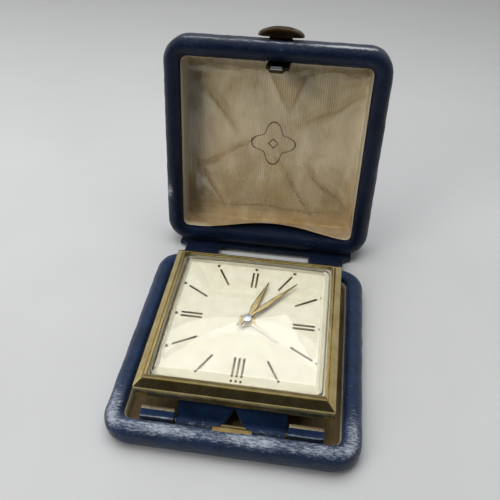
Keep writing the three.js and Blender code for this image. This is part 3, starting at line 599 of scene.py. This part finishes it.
# ---------------------------------------------------------------- tray
def tray():
    h, rim = TRAY_SIZE.z, TRAY_RIM
    side = [(1.6, 0), (0.9, 0.45), (0.75, 1.5), (1.25, 1.9), (0.25, 2.25), (0, 2.8), (0, 4.4), (0.5, h - 1.9),
            (1.6, h - 0.6), (3.0, h), (4.6, h - 0.12), (rim - 0.5, h - 0.7), (rim - 0.1, h - 1.5), (rim, h - 2.6)]
    inner = [(rim, 4.0), (rim, 1.5), (rim + 4, 1.5)]
    profile = [Vector((12, 0)), Vector((5, 0))] + smooth(side, 4) + [Vector(p) for p in inner]
    verts, faces = framed(TRAY_SIZE.x, TRAY_SIZE.y, CORNER, profile, side=60, corner=16)
    piece = make("tray_leather", verts, faces, LOOK["leather"])
    roughen(piece, 0.16, 4.5, 1.0, lambda p: min(max(p.z - 1.6, 0), 1))
    roughen(piece, 0.05, 1.1, 6.0, lambda p: min(max(p.z - 1.6, 0), 1))
    low, high = box_mm("catch_strip")
    carve(piece, block("pocket", low + Vector((-0.1, 1.85, -0.3)), high + Vector((0.1, 3, 3))))
    front = TRAY_LOW.y

    def wear(p):
        at_front = bell(p.y, front + 3.0, 4.6)
        roll = bell(p.z, h, 2.3)
        patches = 0.75 + 0.5 * bell(p.x, -20, 12) + 0.5 * bell(p.x, 8, 11) + 0.2 * bell(p.x, 26, 9)
        ridge = bell(p.z, 2.5, 0.55) * 0.25
        corner = bell(abs(p.x), TRAY_HIGH.x - 2.5, 5) * bell(p.y, front + 7, 14) * roll * 0.45
        crest = bell(p.z, h, 0.9) * 0.06
        return at_front * (roll * patches * 0.42 + ridge) + corner + crest + ridge * 0.5

    paint(piece, "wear", wear)
    settle(piece, "tray", "leather", "tray_shell")


def tray_lining(strips):
    low, high = box_mm("tray_lining")
    size = high - low
    wall = 0.4
    profile = [(0, low.z), (0, high.z - 0.2), (0.15, high.z), (0.3, high.z - 0.15), (wall, low.z + 1.2),
               (wall + 0.7, low.z + wall), (8, low.z + wall)]
    verts, faces = framed(size.x, size.y, 2.7, profile, side=60, corner=6)
    piece = make("tray_silk", verts, faces, LOOK["tray_cloth"])
    # Darker towards the foot of the lining's walls.
    paint(piece, "darkening", lambda p: 0.5 * bell(p.z, low.z, 2.5))
    paint(piece, "fray", lambda p: bell(p.z, high.z, 0.7) * 0.8)
    settle(piece, "tray", "tray_cloth", "tray_lining")


def tabs():
    strips = []
    for name in ("tray_tab_left", "tray_tab_right"):
        low, high = box_mm(name)
        piece = pillow_block(name.replace("tray_tab", "tab"), low, high, 0.6, LOOK["leather"])
        roughen(piece, 0.10, 1.6, 2.0)
        top, rear = high.z, high.y
        paint(piece, "wear", lambda p: 0.75 * bell(p.z, top, 0.8) * max(bell(p.y, rear, 0.8),
                                                                     bell(p.y, low.y, 0.6)))
        settle(piece, "tray", "leather", name)
        strip = pillow_block(name.replace("tray_tab", "tab_lining"), (low.x + 0.2, rear - 0.9, low.z + 1),
                             (high.x - 0.2, rear + 0.35, top + 0.16), 0.15, LOOK["tray_cloth"], steps=2)
        paint(strip, "fray", lambda p: 0.7 * bell(p.z, top + 0.16, 0.3) * bell(p.y, rear - 0.9, 0.5))
        paint(strip, "darkening", lambda p: 0.0)
        settle(strip, "tray", "tray_cloth")
        strips.append(strip)
    return strips


def catch():
    """A folded gilt strip with a rolled lip over the notch."""
    low, high = box_mm("catch_strip")
    t = high.z - low.z
    section = [(low.y, low.z), (high.y - 0.5, low.z), (high.y - 0.1, low.z + 0.1), (high.y, low.z + t / 2),
               (high.y - 0.15, high.z - 0.05), (high.y - 0.6, high.z), (low.y + 0.3, high.z),
               (low.y, high.z - 0.2)]
    rows = 24
    rings = []
    for i in range(rows + 1):
        x = low.x + (high.x - low.x) * i / rows
        trim = 0.35 * (abs(i / rows * 2 - 1) ** 12)
        rings.append([(x, y - trim * (y > low.y + 0.5), z) for y, z in section])
    verts, faces = loft(rings)
    piece = make("catch_plate", verts, faces, LOOK["brass"], 40)
    settle(piece, "tray", "gilt", "catch_strip")


# ---------------------------------------------------------------- lid
def lid():
    h, rim = LID_SIZE.z, LID_RIM
    outside = [(4.5, 0), (1.6, 0.9), (0.25, 3.4), (0, 5.5), (0, h - 4.0), (0.55, h - 1.8), (1.7, h - 0.5),
               (rim / 2, h), (4.8, h - 0.35), (rim - 0.35, h - 1.2), (rim - 0.05, h - 2.4), (rim, h - 3.6)]
    inner = [(rim, 5.0), (rim, 1.3), (rim + 4, 1.3)]
    profile = [Vector((14, 0)), Vector((8, 0))] + smooth(outside, 5) + [Vector(p) for p in inner]
    verts, faces = framed(LID_SIZE.x, LID_SIZE.y, CORNER, profile, side=60, corner=16)
    # Its material is the navy leather painted darker, as painted shade.
    piece = make("lid_leather_painted_shade", verts, faces, LOOK["lid_leather_painted_shade"], place=LID)
    roughen(piece, 0.14, 5, 4.0)
    roughen(piece, 0.04, 1.2, 8.0)
    low, high = lid_box("latch_button")
    hook = lid_box("latch_hook")
    slot = block("slot", (hook[0].x - 0.2, LID_HIGH.y - rim - 1, 4.2), (hook[1].x + 0.2, LID_HIGH.y + 1, 7.6))
    carve(piece, slot)
    top = LID_HIGH.y

    def wear(p):
        crest = bell(p.z, h - 3.0, 1.8) * bell(p.y, top - 0.1, 0.7)
        along = 0.4 + 0.4 * bell(p.x, 26, 18)
        left = bell(p.x, LID_LOW.x + 1.5, 2.5) * bell(p.y, -top + 22, 5) * bell(p.z, h - 1, 3) * 0.6
        back = bell(p.z, 1.2, 1.6) * 0.13
        return crest * along + left + back

    paint(piece, "wear", wear)
    settle(piece, "lid", "leather", "lid_shell")


def loosen(piece, low, high):
    """The lining has come away from the lower wall, so its edge sags inwards in a shallow arc."""
    deep = high.z - low.z - 2
    for vertex in piece.data.vertices:
        p = vertex.co / MM
        lifted = min(max((p.z - low.z - 2) / deep, 0), 1) * bell(p.x, 3, 31) * (p.y < low.y + 1.2)
        vertex.co += Vector((0, 2.2, -4.2)) * lifted * MM


def lid_lining():
    low, high = lid_box("lid_lining")
    size = high - low
    wall = 0.4
    profile = [(0, low.z), (0, low.z + 4), (0, low.z + 7), (0, high.z - 0.3), (0.12, high.z), (0.3, high.z - 0.2),
               (wall, low.z + 7), (wall, low.z + 4.5), (wall, low.z + 2),
               (wall + 1.0, low.z + wall + 0.1), (6, low.z + wall), (14, low.z + wall), (24, low.z + wall)]
    verts, faces = framed(size.x, size.y, 2.5, profile, side=60, corner=6)
    piece = make("lid_silk", verts, faces, LOOK["lid_cloth"], place=LID)
    hook_low, hook_high = lid_box("latch_hook")
    loosen(piece, low, high)
    carve(piece, block("hook_way", (hook_low.x - 0.4, high.y - 1, 3.4), (hook_high.x + 0.4, high.y + 1, high.z + 1)))
    half = size.y / 2

    # Darker towards the lower end, into the corners and along the foot of the lining.
    def darkening(p):
        lower = min(max(0.5 - p.y / size.y, 0), 1) ** 1.6 * 0.8
        corner = (abs(p.x) / (size.x / 2) * abs(p.y) / half) ** 3 * 0.7
        foot = bell(p.y, -half, 7) * 0.75
        return lower + corner + foot

    paint(piece, "darkening", darkening)
    paint(piece, "fray", lambda p: bell(p.z, high.z, 1.0) * 0.8 + 0.5 * bell(p.x, -size.x / 2, 1.2))
    settle(piece, "lid", "lid_cloth", "lid_lining")


def fold(p, start, end, width, height):
    """A crease along a line: height of a sharp ridge that dies at its ends."""
    start, end = Vector(start), Vector(end)
    along = end - start
    p = p + noise.noise_vector(Vector((p.x, p.y, 0)) / 11) * 2.2
    t = min(max((Vector((p.x, p.y)) - start).dot(along) / along.length_squared, 0), 1)
    away = (Vector((p.x, p.y)) - (start + along * t)).length
    fade = 0.35 + 0.65 * math.sin(math.pi * min(max(t, 0.02), 0.98))
    return height * fade * max(1 - away / width, 0) ** 1.5


FILM_FOLDS = (
    ((-6, 31), (6, 14), 2.6, 0.9),
    ((13, 31), (6, 14), 2.6, 0.9),
    ((-27, 20), (-15, 4), 3.0, 0.7),
    ((33, 22), (10, 8), 3.0, 0.8),
    ((14, -8), (30, -24), 3.2, 0.9),
    ((2, -6), (17, -30), 2.6, 0.6),
    ((-33, -6), (-18, -30), 3.0, 0.7),
    ((-31, -27), (31, -27.5), 1.6, 0.8),
    ((-8, 2), (-30, -12), 2.4, 0.4),
)


def film():
    """Crinkled clear sheet that lies on the lining and turns up a little at its edges."""
    low, high = lid_box("lid_film")
    size = high - low
    middle = (low + high) / 2
    count = 110
    verts = []
    for side in (0, 1):
        for i in range(count + 1):
            for j in range(count + 1):
                x = low.x + size.x * i / count
                y = low.y + size.y * j / count
                p = Vector((x, y, 0))
                edge = min(x - low.x, high.x - x, y - low.y, high.y - y)
                curl = 1.6 * max(1 - edge / 3.2, 0) ** 2 * (0.75 + 0.25 * noise.noise(p / 7))
                lift = 0.12 + sum(fold(p, *f) for f in FILM_FOLDS) + 0.22 * abs(noise.fractal(p / 13, 1, 2, 3))
                lift *= min(edge / 1.2, 1) * 0.9 + 0.1
                verts.append((x, y, low.z + lift + curl + 0.1 * side))
    step = count + 1
    layer = step * step
    faces = []
    for i in range(count):
        for j in range(count):
            a = i * step + j
            faces.append((a, a + 1, a + step + 1, a + step))
            faces.append((a + layer, a + layer + step, a + layer + step + 1, a + layer + 1))
    for k in range(count):
        for a, b in ((k, k + 1), (count * step + k + 1, count * step + k),
                     ((k + 1) * step, k * step), (k * step + count, (k + 1) * step + count)):
            faces.append((a, a + layer, b + layer, b))
    piece = make("clear_sheet", verts, faces, LOOK["film"], 30, place=LID)
    # The crease value is painted shade: it tints the film brown along the folds.
    paint(piece, "crease", lambda p: sum(fold(p, s, e, w * 0.45, 0.8) for s, e, w, h in FILM_FOLDS))
    paint(piece, "haze", lambda p: sum(fold(p, s, e, 0.5, 0.9 * (e[1] < 0)) for s, e, w, h in FILM_FOLDS))
    settle(piece, "lid", "film", "lid_film")
    return middle


def ornament(middle):
    """A stamped four-lobed outline with a small lozenge, flat on the lining."""
    z = lid_box("lid_lining")[0].z + 0.42
    reach, width, steps = 9, 0.62, 96

    def lobed(angle, shrink):
        radius = (reach - shrink) * (0.80 + 0.20 * math.cos(4 * angle))
        return Vector((middle.x + radius * math.sin(angle), middle.y + 2.5 + radius * math.cos(angle)))

    def diamond(angle, shrink):
        radius = (2.2 - shrink) / (abs(math.sin(angle)) + abs(math.cos(angle)))
        return Vector((middle.x + radius * math.sin(angle), middle.y + 2.5 + radius * math.cos(angle)))

    for name, outline in (("ornament_ring", lobed), ("ornament_lozenge", diamond)):
        rings = []
        for shrink, lift in ((0, 0), (0, 0.06), (width, 0.06), (width, 0)):
            rings.append([(*outline(TAU * i / steps, shrink), z + lift) for i in range(steps)])
        verts, faces = loft(rings, closed=True)
        piece = make(name, verts, faces, LOOK["stamp"], place=LID)
        settle(piece, "lid", "lid_cloth")


# ---------------------------------------------------------------- latch
def latch():
    low, high = lid_box("latch_button")
    cap_low = max(low.z, 0)
    half = (high.x - low.x) / 2
    mid_x = (low.x + high.x) / 2
    mid_z = (cap_low + high.z) / 2
    base, crown = LID_HIGH.y + 1.25, high.y
    deep = (high.z - cap_low) / 2
    rings = []
    rows = 14
    for i in range(rows + 1):
        t = i / rows
        shrink = math.cos(t * math.pi / 2 * 0.93) ** 0.55
        y = base + (crown - base) * math.sin(t * math.pi / 2) ** 1.1
        rings.append([(mid_x + half * shrink * math.copysign(abs(math.cos(a)) ** 0.55, math.cos(a)),
                       y - 0.9 * (abs(math.cos(a)) ** 2) * t,
                       mid_z + deep * shrink * math.copysign(abs(math.sin(a)) ** 0.7, math.sin(a)))
                      for a in (TAU * k / 64 for k in range(64))])
    verts, faces = loft(rings)
    button = make("thumb_button", verts, faces, LOOK["bronze"], place=LID)
    settle(button, "latch", "bronze", "latch_button")

    hook_low, hook_high = lid_box("latch_hook")
    stem = pillow_block("latch_stem", (hook_low.x + 0.1, hook_low.y + 1, 4.7), (hook_high.x - 0.1, base + 0.6, 7.1),
                        0.3, LOOK["bronze"], place=LID, steps=2)
    settle(stem, "latch", "bronze")

    mid = (hook_low.x + hook_high.x) / 2
    outer, inner = hook_low.y + 1.4, hook_low.y
    wide = (hook_high.x - hook_low.x) / 2
    h = LID_SIZE.z
    sides = [(wide, 4.6), (wide, h + 0.1), (wide - 0.3, h + 0.6), (wide - 1.0, h + 1.6), (2.3, hook_high.z - 0.3),
             (2.0, hook_high.z)]
    outline = [(mid + x, z) for x, z in sides] + [(mid - x, z) for x, z in reversed(sides)]
    rings = []
    for y, shrink in ((outer, 0.2), (outer - 0.2, 0.0), (inner + 0.25, 0.0), (inner, 0.25)):
        rings.append([(mid + (x - mid) * (1 - shrink / wide), y, z - shrink * (z > h)) for x, z in outline])
    verts, faces = loft(rings)
    hook = make("hook_arm", verts, faces, LOOK["bronze"], 35, place=LID)
    settle(hook, "latch", "bronze", "latch_hook")
    barb = pillow_block("hook_barb", (mid - 2, inner + 1, hook_high.z - 0.8), (mid + 2, outer + 0.8,
                        hook_high.z - 0.02), 0.2, LOOK["steel"], place=LID, steps=2)
    settle(barb, "latch", "bronze")


# ---------------------------------------------------------------- clock body
def carrier():
    low, high = box_mm("carrier_plate")
    size = high - low
    hole = box_mm("movement_case")[1].x - 2.4 + 0.3
    inset = size.x / 2 - hole - 2.6
    z0, z1 = low.z, high.z
    side = [(0.35, z0), (0.05, z0 + 0.35), (0, z0 + 0.9), (0.1, z1 - 0.3), (0.45, z1), (1.6, z1)]
    profile = smooth(side, 3) + [Vector((3.3, z1)), Vector((3.3, z0)), Vector((1.6, z0))]
    verts, faces = framed(size.x, size.y, 1.4, profile, centre=CLOCK.xy, closed=True, side=50, corner=5)
    piece = make("carrier_leather", verts, faces, LOOK["leather"])
    roughen(piece, 0.06, 1.5, 3.0)
    paint(piece, "wear", lambda p: 0.8 * bell(p.x, low.x, 6) * bell(p.y, low.y, 2) + 0.35 * bell(p.z, z0 + 0.2, 0.5)
          * bell(p.y, low.y, 1.5))
    settle(piece, "clock", "leather", "carrier_plate")
    return inset


def hinge_strip():
    """Leather over the clock's hinge, with a V notch that clears the hook."""
    low, high = box_mm("clock_hinge_strip")
    pin = (box_mm("clock_hinge_pin")[0] + box_mm("clock_hinge_pin")[1]) / 2
    carrier_low = box_mm("carrier_plate")[0]
    z_top = carrier_low.z
    section = []
    for i in range(9):
        turn = math.radians(35 + 260 * i / 8)
        section.append((pin.y + 1.5 * math.cos(turn), pin.z + 1.5 * math.sin(turn)))
    front = carrier_low.y
    section += [(front - 0.2, z_top - 1.3), (high.y, z_top - 1.3), (high.y, z_top), (front - 0.2, z_top),
                (pin.y + 2.0, pin.z + 2.4)]
    rows = 60
    rings = [[(low.x + (high.x - low.x) * i / rows, y, z) for y, z in section] for i in range(rows + 1)]
    verts, faces = loft(rings)
    piece = make("hinge_leather", verts, faces, LOOK["leather"])
    catch_low, catch_high = box_mm("catch_strip")
    mid, half = (catch_low.x + catch_high.x) / 2, 5.6
    y0 = pin.y - 2
    wedge = [(mid - half, y0 - 1), (mid + half, y0 - 1), (mid + half, y0), (mid, y0 + 6.2), (mid - half, y0)]
    rings = [[(x, y, z) for x, y in wedge] for z in (0, 14)]
    verts, faces = loft(rings)
    carve(piece, make("notch", verts, faces, None))
    roughen(piece, 0.05, 1.4, 5.0)
    paint(piece, "wear", lambda p: 0.5 * bell(p.y, low.y, 0.9) * bell(p.z, pin.z + 1.0, 1.2))
    settle(piece, "clock", "leather", "clock_hinge_strip")


def lid_hinge():
    """The lid's leather-covered leaf with its two ears."""
    node = frame["nodes"]["lid_hinge_leaf"]
    # The leaf wears the lid's darker copy of the navy leather, painted shade.
    dress(node, LOOK["lid_leather_painted_shade"], 35)


def bezel():
    z0, top = BEZEL_LOW.z, BEZEL_HIGH.z
    edge = z0 + 4.1
    profile = [(0, z0), (0, edge - 0.35), (0.1, edge - 0.08), (0.35, edge + 0.1), (1.0, edge + 0.6),
               (2.2, edge + 1.5), (2.35, edge + 1.45), (2.5, edge + 1.3), (2.62, edge + 1.5), (2.8, edge + 2.1),
               (3.05, top - 0.08), (3.3, top), (3.55, top - 0.08), (3.7, top - 0.35), (3.7, top - 1.1),
               (1.2, edge - 0.1), (1.2, z0)]
    verts, faces = framed(2 * HALF, 2 * HALF, 0.6, profile, centre=CLOCK.xy, closed=True, side=8, corner=5,
                          least=0.3)
    piece = make("bezel_gilt", verts, faces, LOOK["gilt"], 28)
    settle(piece, "clock", "gilt", "bezel")


def dome_height(x, y, reach, rise):
    """A square pillow: round both ways, flat at its border."""
    return rise * max(1 - (x / reach) ** 2, 0) * max(1 - (y / reach) ** 2, 0)


def crystal():
    low, high = box_mm("crystal")
    half = (high.x - low.x) / 2 - 1.5
    border, steep = 2.8, 2.0
    reach, rise = half, high.z - low.z - 0.8 - steep - 0.5
    shoulder = low.z + 0.8
    outer = [(-1.4, low.z), (-1.4, shoulder)]
    insets = [border * (i / 8) for i in range(9)] + [border + (half - border - 1.2) * (i / 16) for i in range(1, 17)]

    def wall(inset):
        t = min(inset / border, 1)
        return steep * (1 - (1 - t) ** 2.2)

    def rings_at(drop):
        rings = []
        for inset in insets:
            loop = ring(2 * half, 2 * half, 2.4, inset + (drop if inset < border else 0), side=30, corner=6, least=0.4)
            rings.append([(x + CLOCK.x, y + CLOCK.y,
                           shoulder + 0.5 + wall(inset) + dome_height(x, y, reach, rise) - drop)
                          for x, y in loop])
        return rings

    def flat(inset, z):
        loop = ring(2 * half, 2 * half, 2.4, inset, side=30, corner=6, least=0.4)
        return [(x + CLOCK.x, y + CLOCK.y, z) for x, y in loop]

    thick = 0.6
    outside = [flat(inset, z) for inset, z in outer] + [flat(0, shoulder)] + rings_at(0)
    inside = [flat(thick, low.z)] + [flat(thick, shoulder)] + rings_at(thick)
    count = len(outside[0])
    rings = list(reversed(inside)) + outside
    verts, faces = loft(rings)
    piece = make("acrylic_dome", verts, faces, LOOK["crystal"], 40)
    settle(piece, "clock", "crystal", "crystal")
    return count


def bar(start, end, width, z, height):
    """Points and faces of one raised bar with a ridge."""
    start, end = Vector(start), Vector(end)
    along = (end - start).normalized()
    across = Vector((-along.y, along.x)) * width / 2
    base = [start - across, end - across, end + across, start + across]
    verts = [(*p, z) for p in base] + [(*p.lerp((start + end) / 2, 0.12), z + height) for p in base]
    faces = [(3, 2, 1, 0), (4, 5, 6, 7)] + [(i, (i + 1) % 4, 4 + (i + 1) % 4, 4 + i) for i in range(4)]
    return verts, faces


def dot(place, radius, z, height, sides=14):
    rings = [[(place[0] + r * math.cos(TAU * i / sides), place[1] + r * math.sin(TAU * i / sides), z + up)
              for i in range(sides)] for r, up in ((radius, 0), (radius * 0.9, height * 0.7), (radius * 0.5, height))]
    return loft(rings)


def gather(parts):
    verts, faces = [], []
    for some_verts, some_faces in parts:
        base = len(verts)
        verts += some_verts
        faces += [tuple(base + i for i in face) for face in some_faces]
    return verts, faces


def dial():
    low, high = box_mm("dial")
    size = high - low
    profile = [(size.x / 2 - 2.5 - 0.01, low.z), (0, low.z), (0, high.z), (size.x / 2 - 2.51, high.z)]
    rings = []
    for inset, z in profile:
        if inset:
            loop = [Vector((2.4 * math.cos(a), 2.4 * math.sin(a))) for a in
                    (math.atan2(y, x) for x, y in ring(size.x, size.y, 0.5, 0, side=24, corner=2))]
        else:
            loop = ring(size.x, size.y, 0.5, 0, side=24, corner=2)
        rings.append([(x + CLOCK.x, y + CLOCK.y, z) for x, y in loop])
    verts, faces = loft(rings, closed=True)
    piece = make("dial_face", verts, faces, LOOK["dial"])
    settle(piece, "clock", "dial", "dial")


def dial_surround():
    """A narrow cream ring inside the foot of the dome."""
    z = DIAL_TOP + 0.01
    size = 2 * (box_mm("crystal")[1].x - 1.5 - 0.8)
    profile = [(0, z), (0, z + 1.3), (0.15, z + 1.45), (0.35, z + 1.3), (0.5, z)]
    verts, faces = framed(size, size, 1.6, profile, centre=CLOCK.xy, closed=True, side=8, corner=5)
    settle(make("dial_surround", verts, faces, LOOK["dial"]), "clock", "dial")


def hour_markers():
    """Three bars at 12, two at 3, 6 and 9, one at the other hours, and dots outside them."""
    z, raise_by = DIAL_TOP + 0.01, 0.18
    window = 24
    parts = []
    for hour in range(1, 13):
        turn = math.pi - hour * TAU / 12
        way = Vector((-math.sin(turn), math.cos(turn)))
        across = Vector((-way.y, way.x))
        to_square = window / max(abs(way.x), abs(way.y))
        count = {12: 3, 3: 2, 6: 2, 9: 2}.get(hour, 1)
        start, end = 0.64 * to_square, 0.95 * to_square
        for k in range(count):
            shift = across * (k - (count - 1) / 2) * 1.5
            a, b = way * start + shift + CLOCK.xy, way * end + shift + CLOCK.xy
            parts.append(bar(a, b, 0.72, z, raise_by))
        dots = {12: 3, 1: 0, 11: 0}.get(hour, 1)
        for k in range(dots):
            shift = across * (k - (dots - 1) / 2) * 1.5
            parts.append(dot(way * (to_square + (0.1 if dots == 3 else 0.4)) + shift + CLOCK.xy,
                             0.4 if dots == 3 else 0.62, z, raise_by))
    verts, faces = gather(parts)
    piece = make("hour_markers", verts, faces, LOOK["marker"], 30)
    settle(piece, "clock", "gilt")


def hand(name, node, body, slot, half_width, tail, hole, look, edge, boss_r=0.95):
    """A lance hand: a dark bevelled edge around a raised gilded blade."""
    points = [v.co / MM for v in frame["nodes"][node].data.vertices]
    low_z = min(p.z for p in points)
    centre = CLOCK.xy
    tip = max(points, key=lambda p: (p.xy - centre).length)
    way = (tip.xy - centre).normalized()
    length = (tip.xy - centre).length
    across = Vector((-way.y, way.x))
    half = [(-tail, 0.42), (0, 0.5), (length * 0.16, 0.62), (length * 0.34, half_width), (length * 0.7, 0.55 *
            half_width), (length, 0.14)]
    outline = [(s, w) for s, w in half] + [(s, -w) for s, w in reversed(half)]
    rings = []
    for shrink, z in ((0, 0), (0, 0.1), (0.2, 0.16), (0.24, 0.24)):
        loop = []
        for s, w in outline:
            keep = max(abs(w) - shrink, 0.04) * (1 if w > 0 else -1)
            along = min(max(s, -tail + shrink), length - shrink * 3)
            loop.append((*(centre + way * along + across * keep), low_z + z))
        rings.append(loop)
    verts, faces = loft(rings)
    sides = 28
    boss = [[(centre.x + r * math.cos(TAU * i / sides), centre.y + r * math.sin(TAU * i / sides), low_z + z)
             for i in range(sides)] for r, z in ((hole, 0), (hole + boss_r, 0), (hole + boss_r, 0.16), (hole + boss_r - 0.15, 0.25),
                                                 (hole, 0.25))]
    ring_verts, ring_faces = loft(boss, closed=True)
    all_verts, all_faces = gather([(verts, faces), (ring_verts, ring_faces)])
    piece = make(name, all_verts, all_faces, look, 25, more_materials=(edge,))
    for face in piece.data.polygons:
        lowest = min(piece.data.vertices[i].co.z / MM for i in face.vertices)
        if lowest < low_z + 0.15:
            face.material_index = 1
    settle(piece, body, slot, node)


def collet():
    low, high = box_mm("hand_cap")
    r = (high.x - low.x) / 2
    steps = [(r, 0), (r, 0.12), (r * 0.9, 0.2), (r * 0.72, 0.2), (r * 0.68, 0.12), (r * 0.6, 0.12), (r * 0.56, 0.24),
             (r * 0.35, 0.3), (r * 0.12, 0.3)]
    sides = 36
    rings = [[(CLOCK.x + q * math.cos(TAU * i / sides), CLOCK.y + q * math.sin(TAU * i / sides), low.z + up)
              for i in range(sides)] for q, up in steps]
    verts, faces = loft(rings)
    piece = make("ringed_collet", verts, faces, LOOK["steel"], 30)
    settle(piece, "minute_work", "steel", "hand_cap")


# ---------------------------------------------------------------- carried-over CAD pieces
def dress(node, look, angle=30):
    """Gives a CAD node its material; its shape stays."""
    node.data.materials.clear()
    node.data.materials.append(look)
    if angle:
        modifier = node.modifiers.new("edges", "BEVEL")
        modifier.width = 0.00006
        modifier.segments = 2
        modifier.limit_method = "ANGLE"
        modifier.angle_limit = math.radians(angle)


def dress_the_rest(replaced):
    slots = {m["slot"]: m.get("nodes", []) for m in frame["record"].get("materials", [])}
    looks = {"leather": "leather", "gilt": "gilt", "brass": "brass", "steel": "steel", "bronze": "bronze",
             "dial": "dial", "crystal": "crystal", "film": "film", "tray_cloth": "tray_cloth",
             "lid_cloth": "lid_cloth"}
    for slot, nodes in slots.items():
        for name in nodes:
            if name in replaced or name not in frame["nodes"]:
                continue
            dress(frame["nodes"][name], LOOK[looks.get(slot, "brass")])
    for name in ("back_plate", "front_plate", "back_cover"):
        dress(frame["nodes"][name], LOOK["plate"])
    # The lid's hinge leaf takes the navy leather painted darker, as painted shade.
    dress(frame["nodes"]["lid_hinge_leaf"], LOOK["lid_leather_painted_shade"])


def floor():
    size = 3000
    verts = [(-size, -size, -0.02), (size, -size, -0.02), (size, size, -0.02), (-size, size, -0.02)]
    piece = make("floor", verts, [(0, 1, 2, 3)], floor_paper_painted_shade())


camera()
studio()
floor()
dress_the_rest(set())
tray()
tray_lining(tabs())
catch()
lid()
lid_lining()
ornament(film())
latch()
carrier()
hinge_strip()
bezel()
crystal()
dial()
dial_surround()
hour_markers()
hand("alarm_pointer", "alarm_hand", "alarm_indicator", "brass", 0.42, 3, 1.4, LOOK["brass"], LOOK["steel"],
     boss_r=1.25)
hand("hour_lance", "hour_hand", "hour_work", "gilt", 1.25, 4, 0.95, LOOK["gilt"], LOOK["outline"])
hand("minute_lance", "minute_hand", "minute_work", "gilt", 1.05, 4.5, 0.3, LOOK["gilt"], LOOK["outline"])
collet()
